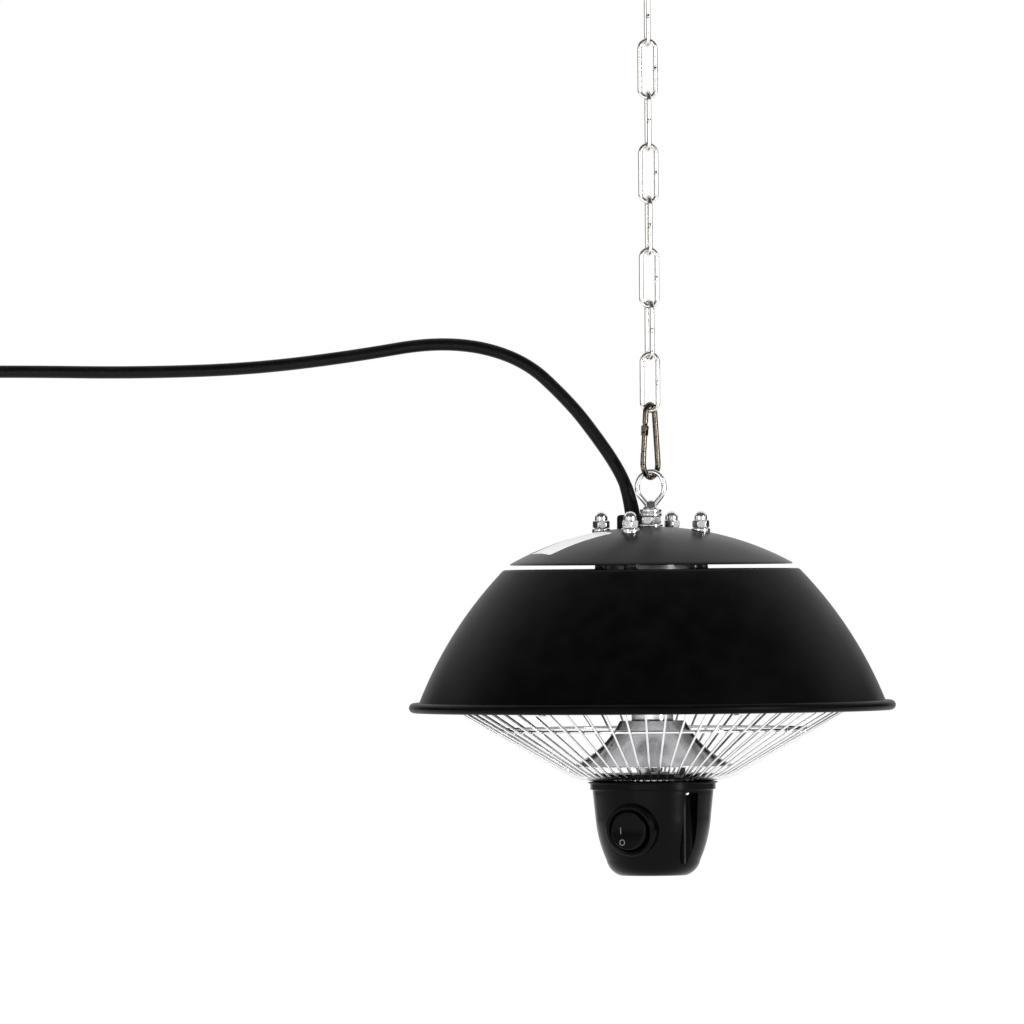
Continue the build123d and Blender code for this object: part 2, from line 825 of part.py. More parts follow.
# Two leads rise from the lamp's end caps, cross above the reflector and end in the terminal box
def lamp_leads():
    cross = (reflector_top + shade_under) / 2
    points = [
        Vector(0, lamp_ring_radius, lamp_height + holder_radius + seat_gap),
        Vector(0, lamp_ring_radius, cross),
        Vector(0, lamp_lead_box_radius, cross),
        Vector(0, lamp_lead_box_radius, box_floor + lead_end_rise),
    ]
    lead = faceted_wire(FilletPolyline(*points, radius=lamp_lead_bend), lamp_lead_radius, inner_lead_sides)
    return group([Rot(0, 0, side * lamp_lead_angle) * lead for side in (-1, 1)])


# Column, flared cone, and the leads that run down inside them to the switch
def centre_column():
    return tube(column_radius, column_radius - column_wall, cone_top_height, reflector_under)


def cone_reflector():
    top_edge = (cone_top_radius, cone_top_height)
    low_edge = (cone_bottom_radius, cone_bottom_height)
    inner_edge = (cone_top_radius, cone_plate_under)
    inner_low = (cone_bottom_radius, cone_bottom_height - cone_sheet)
    plate = strip((0, cone_top_height), top_edge, inner_edge, (0, cone_plate_under))
    flare = outline(
        ThreePointArc(top_edge, (cone_mid_radius, cone_mid_height), low_edge),
        Line(low_edge, inner_low),
        ThreePointArc(inner_low, (cone_mid_radius, cone_mid_height - cone_sheet), inner_edge),
        Line(inner_edge, top_edge),
    )
    cone = spun(plate) + spun(flare)
    leads = lead_holes(cone_plate_under, cone_top_height)
    return without(cone, [through_rod(cone_plate_under, cone_top_height), *leads[-2:]])


def switch_lead(radius, column, gap, blade):
    down = lid_boss_under - lead_cup_drop
    return faceted_wire(bent_run([
        Vector(*column, box_floor + lead_end_rise),
        Vector(*column, cone_plate_under - radius * 2),
        Vector(*gap, cone_plate_under - lead_spread_drop),
        Vector(*gap, down),
        Vector(*blade, down - lead_cup_fall),
        Vector(*blade, blade_top + seat_gap),
    ]), radius, inner_lead_sides)


def white_lead():
    column = (white_column_x, white_column_y)
    blade = (-blade_spacing / 2, blade_y)
    lead = switch_lead(white_lead_radius, column, (white_gap_x, white_gap_y), blade)
    middle = lid_top_height + seat_gap + sleeve_height / 2
    sleeve = Cone(sleeve_radius, sleeve_top_radius, sleeve_height)
    return lead + Pos(white_gap_x, white_gap_y, middle) * sleeve


def black_lead():
    column = (black_column_x, black_column_y)
    blade = (blade_spacing / 2, blade_y)
    return switch_lead(black_lead_radius, column, (black_gap_x, black_gap_y), blade)


def rod_nuts():
    bore = rod_radius + rod_gap
    under_cone = nut(rod_nut_flats, bore, cone_plate_under - rod_nut_height, cone_plate_under)
    low = lid_top_height + rod_washer_thickness
    above_lid = nut(rod_nut_flats, bore, low, low + rod_nut_height)
    high = lid_boss_under - rod_washer_thickness
    under_lid = nut(rod_nut_flats, bore, high - rod_nut_height, high)
    return group([under_cone, above_lid, under_lid])


def rod_washers():
    hole = rod_radius + rod_clearance
    above = tube(rod_washer_radius, hole, lid_top_height, lid_top_height + rod_washer_thickness)
    under = tube(rod_washer_radius, hole, lid_boss_under - rod_washer_thickness, lid_boss_under)
    return group([above, under])


# Wire guard: sixty bent wires between three rings, hung from six clips on the skirt
guard_slope = (guard_top_height - guard_bend_height) / (guard_top_radius - guard_bend_radius)
guard_lean = math.atan(guard_slope)


def guard_wire_height(radius):
    return guard_top_height - (guard_top_radius - radius) * guard_slope


def guard_wires():
    top = guard_top_radius - guard_wire_end_gap
    path = Polyline(
        (0, -top, guard_wire_height(top)),
        (0, -guard_bend_radius, guard_bend_height),
        (0, -guard_end_radius, guard_bend_height - guard_foot_drop),
    )
    section = Plane(path @ 0, z_dir=path % 0) * RegularPolygon(guard_wire_radius, guard_wire_sides)
    wire = sweep(section, path=path, transition=Transition.RIGHT)
    return group(around(wire, 0, guard_wire_count, guard_wire_start))


def guard_rings():
    lift = (guard_wire_radius + guard_ring_wire_radius + guard_gap) / math.cos(guard_lean)
    low_height = (lid_rim_under + cup_top_height) / 2
    return group([
        faceted_ring(guard_top_radius, guard_top_height, guard_ring_wire_radius, ring_sides),
        faceted_ring(guard_mid_ring_radius, guard_wire_height(guard_mid_ring_radius) + lift,
                     guard_ring_wire_radius, ring_sides),
        faceted_ring(guard_low_ring_radius, low_height, guard_ring_wire_radius, ring_sides),
    ])


def guard_clips():
    under_ring = guard_top_height - guard_ring_wire_radius - guard_gap - clip_thickness / 2
    inset = clip_thickness / 2 + clip_seat_gap
    lean = math.atan2(
        clip_top_height - clip_foot_height,
        skirt_inner_radius(clip_foot_height) - skirt_inner_radius(clip_top_height),
    )
    foot = skirt_inner_radius(clip_foot_height) - inset / math.sin(lean)
    top = skirt_inner_radius(clip_top_height) - inset / math.sin(lean)
    path = Polyline(
        (0, -(guard_top_radius - clip_reach), under_ring),
        (0, -(guard_top_radius + clip_step), under_ring),
        (0, -foot, clip_foot_height),
        (0, -top, clip_top_height),
    )
    section = Plane(path @ 0, x_dir=(1, 0, 0), z_dir=path % 0) * Rectangle(clip_width, clip_thickness)
    return group(around(sweep(section, path=path, transition=Transition.RIGHT), 0, clip_count, clip_start))


# Lid over the cup, with a boss that the guard's lowest ring goes round
def gap_holes(low, high):
    white = rod(white_lead_radius + lead_hole_gap, low - overrun, high + overrun)
    black = rod(black_lead_radius + lead_hole_gap, low - overrun, high + overrun)
    return [Pos(white_gap_x, white_gap_y, 0) * white, Pos(black_gap_x, black_gap_y, 0) * black]


def cup_screw_holes():
    top = groove_top_height + cup_screw_length + rod_end_gap
    hole = rod(cup_screw_radius + seat_gap, groove_top_height - overrun, top)
    return around(hole, cup_screw_circle, groove_count, groove_angle)


def cup_lid():
    rim = rod(lid_radius, lid_rim_under, lid_top_height)
    boss = rod(lid_boss_radius, lid_boss_under, lid_top_height)
    cuts = [through_rod(lid_boss_under, lid_top_height), *gap_holes(lid_boss_under, lid_top_height)]
    return without(rim + boss, [*cuts, *cup_screw_holes()])


# Switch cup: a tapering moulded shell with two screw grooves and a round boss for the switch
taper_point = (cup_taper_radius, cup_taper_height)
low_point = (cup_low_radius, cup_low_height)
cup_arc_x, cup_arc_z, cup_arc_radius = arc_circle(taper_point, low_point, cup_bulge)
switch_reach = cup_arc_x + math.sqrt(cup_arc_radius**2 - (switch_height - cup_arc_z) ** 2) + boss_proud


def cup_solid(inset, top_curves, body_top):
    taper = (cup_taper_radius - inset, cup_taper_height)
    low = (cup_low_radius - inset, cup_low_height)
    bottom = (cup_bottom_radius - inset, cup_bottom_height + inset)
    top = top_curves[0]
    return spun(outline(
        *[Line(start, end) for start, end in zip(top_curves, top_curves[1:])],
        Line(body_top, taper),
        ThreePointArc(taper, bulged(taper, low, cup_bulge), low),
        ThreePointArc(low, bulged(low, bottom, cup_corner_bulge), bottom),
        Line(bottom, (0, bottom[1])),
        Line((0, bottom[1]), top),
    ))


def cup_outside():
    under_flange = cup_top_height - cup_flange_thickness
    under_collar = under_flange - cup_collar_height
    body_top = (cup_body_radius, under_collar)
    return cup_solid(0, [
        (0, cup_top_height),
        (cup_flange_radius, cup_top_height),
        (cup_flange_radius, under_flange),
        (cup_collar_radius, under_flange),
        (cup_collar_radius, under_collar),
        body_top,
    ], body_top)


def cup_inside():
    body_top = (cup_body_radius - cup_wall, cup_top_height + overrun)
    return cup_solid(cup_wall, [(0, cup_top_height + overrun), body_top], body_top)


def in_switch(shape):
    lean = math.radians(switch_tilt)
    outwards = (0, -math.cos(lean), -math.sin(lean))
    return Plane((0, -switch_reach, switch_height), x_dir=(1, 0, 0), z_dir=outwards) * shape


def switch_cup():
    groove = rod(groove_radius, cup_bottom_height - overrun, groove_top_height)
    wall = rod(groove_radius + cup_wall, cup_bottom_height - overrun, cup_top_height + 2 * overrun)
    cavity = without(cup_inside(), around(wall, groove_centre_radius, groove_count, groove_angle))
    boss = in_switch(rod(boss_radius, -boss_root, 0))
    pocket = in_switch(rod(bezel_barrel_radius + bezel_gap, -boss_root - overrun, overrun))
    body = cup_outside() - cavity
    body = without(body, around(groove, groove_centre_radius, groove_count, groove_angle))
    return without(body + boss, [pocket, *cup_screw_holes()])


def cup_screws():
    head = rod(cup_screw_head, groove_top_height - cup_screw_head_height, groove_top_height)
    shank = rod(cup_screw_radius, groove_top_height, groove_top_height + cup_screw_length)
    return group(around(head + shank, cup_screw_circle, groove_count, groove_angle))


# Round rocker switch in the cup's boss: bezel, rocker on two trunnions, body and blades
def trunnions(radius, reach):
    return Pos(0, 0, -rocker_pivot_depth) * Rot(0, 90, 0) * Cylinder(radius, 2 * reach)


def switch_bezel():
    flange = rod(bezel_flange_radius, 0, bezel_flange_thickness)
    barrel = rod(bezel_barrel_radius, -bezel_depth, 0)
    pocket = rod(bezel_inner_radius, bezel_back - bezel_depth, bezel_flange_thickness + overrun)
    holes = trunnions(trunnion_radius + trunnion_gap, bezel_inner_radius + trunnion_length)
    return in_switch(flange + barrel - pocket - holes)


def rocker():
    back = -rocker_pivot_depth - rocker_back
    height = rocker_side - back
    drum = Pos(0, 0, back + height / 2) * Cone(rocker_radius, rocker_face_radius, height)
    low = (rocker_radius, back)
    high = (rocker_radius, rocker_side)
    side = outline(
        Line((-low[0], back), low),
        Line(low, high),
        ThreePointArc(high, (0, rocker_middle), (-high[0], rocker_side)),
        Line((-high[0], rocker_side), (-low[0], back)),
    )
    dished = Plane.YZ * extrude(side, rocker_radius, both=True)
    ends = bezel_inner_radius + trunnion_length - trunnion_end_gap
    body = (drum & dished) + trunnions(trunnion_radius, ends)
    tilted = Pos(0, 0, -rocker_pivot_depth) * Rot(-rocker_rest_tilt, 0, 0) * Pos(0, 0, rocker_pivot_depth)
    return in_switch(tilted * body)


def switch_body():
    back = Pos(0, 0, -bezel_depth - switch_body_depth)
    return in_switch(back * extrude(Rectangle(switch_body_length, switch_body_width), switch_body_depth))


def switch_blades():
    low = -bezel_depth - switch_body_depth - blade_length
    blade = extrude(Rectangle(blade_thickness, blade_width), blade_length)
    return in_switch(group([Pos(side * blade_spacing / 2, 0, low) * blade for side in (-1, 1)]))


blade_depth = bezel_depth + switch_body_depth + blade_length / 2
blade_y = -switch_reach + blade_depth * math.cos(math.radians(switch_tilt))
blade_middle = switch_height + blade_depth * math.sin(math.radians(switch_tilt))
blade_top = blade_middle + blade_width / 2 + blade_thickness


# Mains lead from the clamp to its coil, in the plane of the clamp's hole
def lead_route():
    points = [Vector(cord_exit_x, cord_exit_y, head_z + clamp_top)]
    for step in lead_steps:
        points.append(points[-1] + Vector(step[0], 0, step[1]))
    return points


lead_points = lead_route()
coil_start = lead_points[-1]
coil_straight = 2 * cord_radius
coil_middle = coil_start + Vector(-coil_straight, 0, -coil_radius)


def mains_lead():
    print("lead bend radii", [round(radius) for radius in corner_radii(lead_points)])
    path = bent_run(lead_points)
    print("lead length", round(path.length), "section", round(math.pi * cord_radius**2, 1))
    return faceted_wire(path, cord_radius, lead_sides)


# Coil: turns about the Y axis from the top, going left, each a pitch behind the one before
def coil_place(turns):
    angle = math.pi / 2 + 2 * math.pi * turns
    step = Vector(coil_radius * math.cos(angle), coil_pitch * turns, coil_radius * math.sin(angle))
    return coil_middle + step


def coil_heading(turns):
    angle = math.pi / 2 + 2 * math.pi * turns
    return Vector(-math.sin(angle), coil_pitch / (2 * math.pi * coil_radius), math.cos(angle)).normalized()


# Two arcs that leave one point and reach another in the given directions
def biarc(start, start_way, end, end_way):
    chord = end - start
    ways = start_way + end_way
    spread = 2 * (1 - start_way.dot(end_way))
    along = chord.dot(ways)
    reach = (-along + math.sqrt(along**2 + spread * chord.dot(chord))) / spread
    middle = (start + end + (start_way - end_way) * reach) / 2
    first = TangentArc(start, middle, tangent=start_way)
    return [first, TangentArc(middle, end, tangent=first % 1)]


def coil_path():
    stops = [index / 2 for index in range(int(2 * coil_turns) + 1)] + [coil_turns]
    places = [coil_place(stop) for stop in stops]
    ways = [coil_heading(stop) for stop in stops]
    ways[0] = Vector(-1, 0, 0)
    ways[-1] = Vector(0, 0, -1)
    curves = [Line(coil_start, places[0])]
    for index in range(len(stops) - 1):
        curves += biarc(places[index], ways[index], places[index + 1], ways[index + 1])
    curves.append(Line(places[-1], places[-1] + ways[-1] * coil_tail))
    return Wire(curves)


def lead_coil():
    path = coil_path()
    points = [tuple(path @ (index / coil_samples)) for index in range(coil_samples + 1)]
    apart = int(coil_samples * math.pi * coil_radius / path.length)
    gaps = [math.dist(points[low], points[high]) for low in range(len(points) - apart)
            for high in range(low + apart, len(points))]
    print("coil length", round(path.length), "least gap to itself", round(min(gaps) - 2 * cord_radius, 2))
    return faceted_wire(path, cord_radius, coil_sides)


# A band round the turns at the coil's lowest place
def coil_tie():
    inner_height = 2 * (cord_radius + tie_gap)
    inner_length = inner_height + coil_pitch * (int(coil_turns) - 1)
    middle = coil_middle + Vector(0, coil_pitch * int(coil_turns) / 2, -coil_radius)
    ring = SlotOverall(inner_length + 2 * tie_thickness, inner_height + 2 * tie_thickness)
    ring -= SlotOverall(inner_length, inner_height)
    place = Plane(middle - Vector(tie_width / 2, 0, 0), x_dir=(0, 1, 0), z_dir=(1, 0, 0))
    return place * extrude(ring, tie_width)


# Plug: a round moulded body with two pins and an earth strip on each flat
plug_top = coil_place(coil_turns) + Vector(0, 0, -coil_tail)


def plug_body():
    shoulder = plug_neck_length + plug_shoulder_length
    foot = (plug_neck_foot, -plug_neck_length)
    wide = (plug_radius, -shoulder)
    body = spun(outline(
        Line((0, 0), (plug_neck_radius, 0)),
        Line((plug_neck_radius, 0), foot),
        ThreePointArc(foot, bulged(foot, wide, plug_neck_bulge), wide),
        Line(wide, (plug_radius, -plug_length)),
        Line((plug_radius, -plug_length), (0, -plug_length)),
        Line((0, -plug_length), (0, 0)),
    ))
    flat = Pos(0, 0, -plug_length) * extrude(Rectangle(2 * plug_flat, 2 * plug_radius), plug_length)
    return Pos(*plug_top) * (body & flat)


def plug_pins():
    pin = rod(plug_pin_radius, -plug_length - plug_pin_length, -plug_length)
    return Pos(*plug_top) * group([Pos(0, side * plug_pin_spacing / 2, 0) * pin for side in (-1, 1)])


def plug_earth():
    plate = Pos(0, 0, -plug_length) * extrude(Rectangle(earth_thickness, earth_width), earth_length)
    reach = plug_flat + earth_thickness / 2
    return Pos(*plug_top) * group([Pos(side * reach, 0, 0) * plate for side in (-1, 1)])


# Every piece under its own name
def nodes():
    pieces = {"ceiling_hook": ceiling_hook()}
    link = chain_link()
    for index in range(link_count):
        turn = 0 if index % 2 else 90
        place = Pos(0, 0, first_link_top - index * link_pitch) * Rot(0, 0, turn)
        pieces[f"chain_link_{index + 1}"] = place * link
    pieces["snap_body"] = snap_body()
    pieces["snap_gate"] = snap_gate()
    pieces["snap_pin"] = snap_pin()
    for piece in head_pieces:
        pieces[piece.__name__] = on_head(piece())
    for piece in lead_pieces:
        pieces[piece.__name__] = piece()
    return pieces


head_pieces = [
    eye_nut, eye_lock_nut, eye_washer, hanging_rod, rod_nuts, rod_washers,
    top_cap, acorn_nuts, cap_washers, cap_spacers, cap_studs, reflector_spacers, inner_nuts,
    cable_clamp, clamp_screws, cable_tail, terminal_box, terminal_block,
    shade, reflector, lamp_tube, lamp_filament, lamp_holders, lamp_hangers, lamp_leads,
    centre_column, cone_reflector, white_lead, black_lead,
    guard_wires, guard_rings, guard_clips,
    cup_lid, switch_cup, cup_screws, switch_bezel, rocker, switch_body, switch_blades,
]
lead_pieces = [mains_lead, lead_coil, coil_tie, plug_body, plug_pins, plug_earth]

os.makedirs("parts", exist_ok=True)
for name, shape in nodes().items():
    export_step(shape, f"parts/{name}.step")
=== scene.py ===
import math

import bmesh
import bpy
import numpy as np
from bpy.props import FloatProperty, FloatVectorProperty, IntProperty, PointerProperty
from mathutils import Matrix, Vector


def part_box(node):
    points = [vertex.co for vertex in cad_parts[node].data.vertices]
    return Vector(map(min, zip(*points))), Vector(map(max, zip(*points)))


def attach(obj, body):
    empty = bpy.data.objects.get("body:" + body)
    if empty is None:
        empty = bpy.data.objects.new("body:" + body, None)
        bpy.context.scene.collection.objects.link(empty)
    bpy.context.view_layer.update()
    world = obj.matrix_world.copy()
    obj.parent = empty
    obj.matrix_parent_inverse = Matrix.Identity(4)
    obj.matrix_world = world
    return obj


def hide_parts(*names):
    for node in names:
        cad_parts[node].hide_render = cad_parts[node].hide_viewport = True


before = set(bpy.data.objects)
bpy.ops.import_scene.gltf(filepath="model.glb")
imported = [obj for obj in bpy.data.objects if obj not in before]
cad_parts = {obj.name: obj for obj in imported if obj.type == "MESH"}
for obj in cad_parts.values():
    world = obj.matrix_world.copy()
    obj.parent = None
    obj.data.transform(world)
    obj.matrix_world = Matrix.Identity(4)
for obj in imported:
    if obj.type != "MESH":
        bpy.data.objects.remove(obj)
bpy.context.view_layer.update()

bl_info = {
    "name": "Hanging Patio Heater",
    "version": (1, 0, 0),
    "blender": (4, 5, 0),
    "location": "View3D > Sidebar > Heater",
    "description": "Dresses a hanging ring lamp heater: chain, enamelled shade, wire guard, "
                   "switch cup and mains lead",
    "category": "Add Mesh",
}

# Shapes are worked out in millimetres. Heights on the head are measured from the shade's rolled rim.
ROD_BOTTOM = -76.0
HEAD_TURN = -23.0
HEAD_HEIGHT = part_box("hanging_rod")[0].z * 1000 - ROD_BOTTOM

LINK_COUNT = 8
LINK_HALF_WIDTH = 6.9
LINK_REACH = 49.85
LINK_TURNS = (-83.5, 3.0, -82.0, 5.0, -79.0, 6.0, -71.0, 0.0)

SNAP_TURN = 58.0
SNAP_WIRE = 2.5
SNAP_TOP_BEND = 7.4
SNAP_LOW_BEND = 12.3
SNAP_REACH = 63.5
GATE_PIN_DROP = 14.0

COLLAR_HEIGHT = 165.8
COLLAR_TOP = 172.0
EYE_RING_HEIGHT = 194.0
EYE_RING_RADIUS = 11.0
EYE_WIRE = 2.25

RIM_RADIUS = 212.5
BEAD_RADIUS = 4.35
SHADE_HEIGHT = 119.8
SHOULDER_RADIUS = 4.4
SKIRT_TOP = (130.9, 117.8)
SKIRT_FOOT = (204.9, 0.9)
SKIRT_BULGE = 6.85
SHEET = 1.2

DOME_RADIUS = 123.4
DOME_RISE = 32.0
DOME_TOP = 156.8
DOME_SPHERE = (DOME_RADIUS**2 + DOME_RISE**2) / (2 * DOME_RISE)
BOLT_CIRCLE = 47.0
NUT_SEAT_RADIUS = 38.8
WASHER_THICKNESS = 1.6
LOCK_NUT_LOW = 158.8
ROD_RADIUS = 5.0
ROD_BORE = 5.3
THREAD_DEPTH = 0.75
THREAD_PITCH = 1.5
CLAMP_TOP = 167.3
CLAMP_LEFT = -33.0
CLAMP_EDGE = 4.5

REFLECTOR_TOP = 108.6
REFLECTOR_UNDER = 107.8
LAMP_RING = 95.0
LAMP_HEIGHT = 38.0
CONE_TOP = -12.6
CONE_BOW = 5.0
LID_TOP = -58.5
CUP_TOP = -65.7
CUP_BOTTOM = -147.4
GROOVE_TOP = -75.0
GROOVE_CENTRE = 47.6
GROOVE_RADIUS = 8.2
GROOVE_TURNS = (63.0, 243.0)
GUARD_TOP = (171.5, -3.4)
GUARD_BEND = (69.8, -61.1)
GUARD_SLOPE = (GUARD_TOP[1] - GUARD_BEND[1]) / (GUARD_TOP[0] - GUARD_BEND[0])
GUARD_TURN = 2.5
GUARD_MIDDLE_RADIUS = 136.5
GUARD_MIDDLE = GUARD_TOP[1] - (GUARD_TOP[0] - GUARD_MIDDLE_RADIUS) * GUARD_SLOPE
SLEEVE_PLACE = (-2.1, -19.4)
SWITCH_PLACE = (0.0, -53.01, -107.5)
SWITCH_TILT = 10.0
ROCKER_TILT = 7.0
MARK_I = (-6.8, 0.0)
MARK_O = (-5.4, -10.2)

CORD_Y = 14.0
CORD_RUN = [
    (-15.9, -491.6), (-18.8, -472.7), (-28.5, -450.4), (-47.0, -422.9), (-70.0, -392.9),
    (-112.0, -352.9), (-178.0, -337.9), (-262.0, -351.9), (-350.0, -361.9), (-450.0, -364.4),
    (-548.0, -362.4), (-629.0, -362.4),
]
COIL_CENTRE = (-639.9, -418.4)
COIL_RADIUS = 56.0
COIL_PITCH = 11.9
COIL_TURNS = 3.25
COIL_CORNERS = 16
PLUG_TOP = (-695.9, 52.675, -468.4)
PLUG_LENGTH = 45.0
PIN_REACH = 9.5
EARTH_REACH = 17.0

# Lights and camera in metres, floor and cloths in millimetres. Each light: name, place, size, watts, and
# whether it is seen as a mirror image alone.
LIGHTS = (
    ("soft_top", (0.5, -0.9, 1.7), (1.8, 1.8), 13.0, False),
    ("soft_left", (-2.4, -1.6, 0.2), (1.6, 1.6), 8.0, False),
    ("soft_front", (-0.5, -3.0, -0.95), (1.4, 1.0), 120.0, False),
    ("strip_right", (1.97, -1.70, -0.5), (0.25, 1.8), 45.0, True),
    ("strip_left", (-1.30, -2.25, -0.4), (0.55, 1.8), 8.0, True),
)
LIGHT_TARGET = (0.0, 0.0, -0.6)
WORLD_LIGHT = 0.55
FLOOR_RADIUS = 5000.0
FLOOR_HEIGHT = -1050.0
FLOOR_GLOW = 0.55
CLOTH_RADIUS = 3200
CLOTH_HEIGHTS = (-1040.0, -560.0, 300.0, 2200.0)
CAMERA_LENS = 523.7
CAMERA_DISTANCE = 13.0
CAMERA_LIFT = 0.05
CAMERA_ROLL = 0.0076
CAMERA_TARGET = (-0.1212, 0.0, -0.4884)


# Properties

class HeaterSizes(bpy.types.PropertyGroup):
    """Sizes of the thin pieces that a user would change"""

    chain_wire: FloatProperty(name="Chain Wire", description="Diameter of the links' wire",
                              default=0.004, unit="LENGTH")
    guard_wire: FloatProperty(name="Guard Wire", description="Diameter of the guard's wires",
                              default=0.002, unit="LENGTH")
    guard_ring_wire: FloatProperty(name="Guard Ring Wire", description="Diameter of the guard's rings",
                                   default=0.003, unit="LENGTH")
    guard_count: IntProperty(name="Guard Wires", description="Number of wires round the guard",
                             default=60, min=12, max=120)
    cord: FloatProperty(name="Mains Lead", description="Diameter of the mains lead",
                        default=0.0109, unit="LENGTH")


class HeaterColours(bpy.types.PropertyGroup):
    """Colours of the main surfaces"""

    enamel: FloatVectorProperty(name="Enamel", description="Shade and cap", subtype="COLOR",
                                default=(0.0006, 0.0006, 0.0007), min=0.0, max=1.0)
    moulding: FloatVectorProperty(name="Moulding", description="Switch cup, lid and switch", subtype="COLOR",
                                  default=(0.0008, 0.0008, 0.0009), min=0.0, max=1.0)
    cable: FloatVectorProperty(name="Cable", description="Sheath of the mains lead", subtype="COLOR",
                               default=(0.0012, 0.0012, 0.0013), min=0.0, max=1.0)
    steel: FloatVectorProperty(name="Chain Steel", description="Chain and ceiling eye", subtype="COLOR",
                               default=(0.74, 0.72, 0.69), min=0.0, max=1.0)
    mirror: FloatVectorProperty(name="Reflector Sheet", description="Reflector, column and cone",
                                subtype="COLOR", default=(0.74, 0.74, 0.75), min=0.0, max=1.0)
    label: FloatVectorProperty(name="Label", description="The blank label on the cap", subtype="COLOR",
                               default=(0.97, 0.97, 0.96), min=0.0, max=1.0)


# Mesh helpers

def quads(rows, columns, first):
    """Corners of the quads of a grid whose points are numbered row by row from first."""
    corner = first + np.arange((rows - 1) * columns).reshape(rows - 1, columns)[:, :-1]
    return np.stack([corner, corner + 1, corner + columns + 1, corner + columns], -1).reshape(-1, 4)


def surface_mesh(name, grids):
    """One mesh from grids of points in millimetres, with seams and poles closed and faces outwards."""
    counts = [grid.shape[0] * grid.shape[1] for grid in grids]
    firsts = np.cumsum([0] + counts[:-1])
    points = np.concatenate([grid.reshape(-1, 3) for grid in grids]) / 1000
    faces = np.concatenate([quads(*grid.shape[:2], first) for grid, first in zip(grids, firsts)])
    mesh = bpy.data.meshes.new(name)
    mesh.vertices.add(len(points))
    mesh.vertices.foreach_set("co", points.ravel())
    mesh.loops.add(faces.size)
    mesh.loops.foreach_set("vertex_index", faces.ravel())
    mesh.polygons.add(len(faces))
    mesh.polygons.foreach_set("loop_start", np.arange(len(faces)) * 4)
    mesh.update(calc_edges=True)
    work = bmesh.new()
    work.from_mesh(mesh)
    bmesh.ops.remove_doubles(work, verts=work.verts, dist=2e-7)
    bmesh.ops.dissolve_degenerate(work, edges=work.edges, dist=1e-8)
    bmesh.ops.recalc_face_normals(work, faces=work.faces)
    work.to_mesh(mesh)
    work.free()
    mesh.polygons.foreach_set("use_smooth", np.ones(len(mesh.polygons), bool))
    return mesh


def add_piece(name, grids, body, material, replaced=(), sharp=38.0):
    """A finished piece that rides on a body, takes its finish from a slot and stands for CAD nodes."""
    mesh = surface_mesh(name, grids)
    mesh.set_sharp_from_angle(angle=math.radians(sharp))
    mesh.materials.append(material)
    piece = bpy.data.objects.new(name, mesh)
    bpy.context.scene.collection.objects.link(piece)
    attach(piece, body)
    if replaced:
        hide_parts(*replaced)
    return piece


def add_head_piece(name, grids, material, replaced=(), sharp=38.0):
    """A finished piece of the head, from grids in the head's own places."""
    return add_piece(name, [on_head(grid) for grid in grids], "head", material, replaced, sharp)


def paint_nodes(material, *names):
    """CAD nodes whose own shape stays get a material."""
    for name in names:
        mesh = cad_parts[name].data
        mesh.materials.clear()
        mesh.materials.append(material)


def turned(points, degrees):
    """Points turned about the Z axis."""
    angle = math.radians(degrees)
    x, y, z = np.moveaxis(np.asarray(points, float), -1, 0)
    return np.stack([
        x * math.cos(angle) - y * math.sin(angle),
        x * math.sin(angle) + y * math.cos(angle),
        z,
    ], -1)


def lifted(points, height=HEAD_HEIGHT):
    """Points moved up by a height."""
    return np.asarray(points, float) + (0.0, 0.0, height)


def on_head(points):
    """The head's own places, turned about the chain's line and lifted to where the head hangs."""
    return lifted(turned(points, HEAD_TURN))


def around(points, count, start=0.0, radius=0.0):
    """Copies set round the axis: each is moved out to -Y by a radius, then turned."""
    moved = np.asarray(points, float) - (0.0, radius, 0.0)
    return [turned(moved, start + 360.0 * index / count) for index in range(count)]


def in_switch(points):
    """The switch's own places: X across, Y up the tilted face, Z out of it."""
    lean = math.radians(SWITCH_TILT)
    axes = np.array([
        (1.0, 0.0, 0.0),
        (0.0, -math.sin(lean), math.cos(lean)),
        (0.0, -math.cos(lean), -math.sin(lean)),
    ])
    return np.asarray(points, float) @ axes + SWITCH_PLACE


def round_grid(radius, t, height):
    """Radius and height over the angle t: x = r sin t, y = -r cos t."""
    x, y = radius * np.sin(t), -radius * np.cos(t)
    return np.stack([x, y, np.broadcast_to(height, x.shape)], -1)


def lathe(profile, columns=96):
    """Profile points (r, z) carried round the axis."""
    radius, height = np.asarray(profile, float).T[..., None]
    return round_grid(radius, np.linspace(0, 2 * np.pi, columns + 1), height)


def rounded(points, radius, closed=False, steps=5):
    """Each corner P becomes (1-t)^2 A + 2t(1-t) P + t^2 B, from a point A before it to a point B after it."""
    points = np.asarray(points, float)
    before, after = np.roll(points, 1, 0), np.roll(points, -1, 0)
    run_in = np.linalg.norm(points - before, axis=1)
    run_out = np.linalg.norm(after - points, axis=1)
    cut = np.minimum(radius, 0.48 * np.minimum(run_in, run_out))
    if not closed:
        cut[0] = cut[-1] = 0.0
    start = points + (before - points) * (cut / np.maximum(run_in, 1e-9))[:, None]
    end = points + (after - points) * (cut / np.maximum(run_out, 1e-9))[:, None]
    t = np.linspace(0, 1, steps)[None, :, None]
    curve = (1 - t)**2 * start[:, None] + 2 * t * (1 - t) * points[:, None] + t**2 * end[:, None]
    curve = curve.reshape(-1, points.shape[1])
    keep = np.ones(len(curve), bool)
    keep[1:] = np.linalg.norm(np.diff(curve, axis=0), axis=1) > 1e-6
    curve = curve[keep]
    return np.vstack([curve, curve[:1]]) if closed else curve


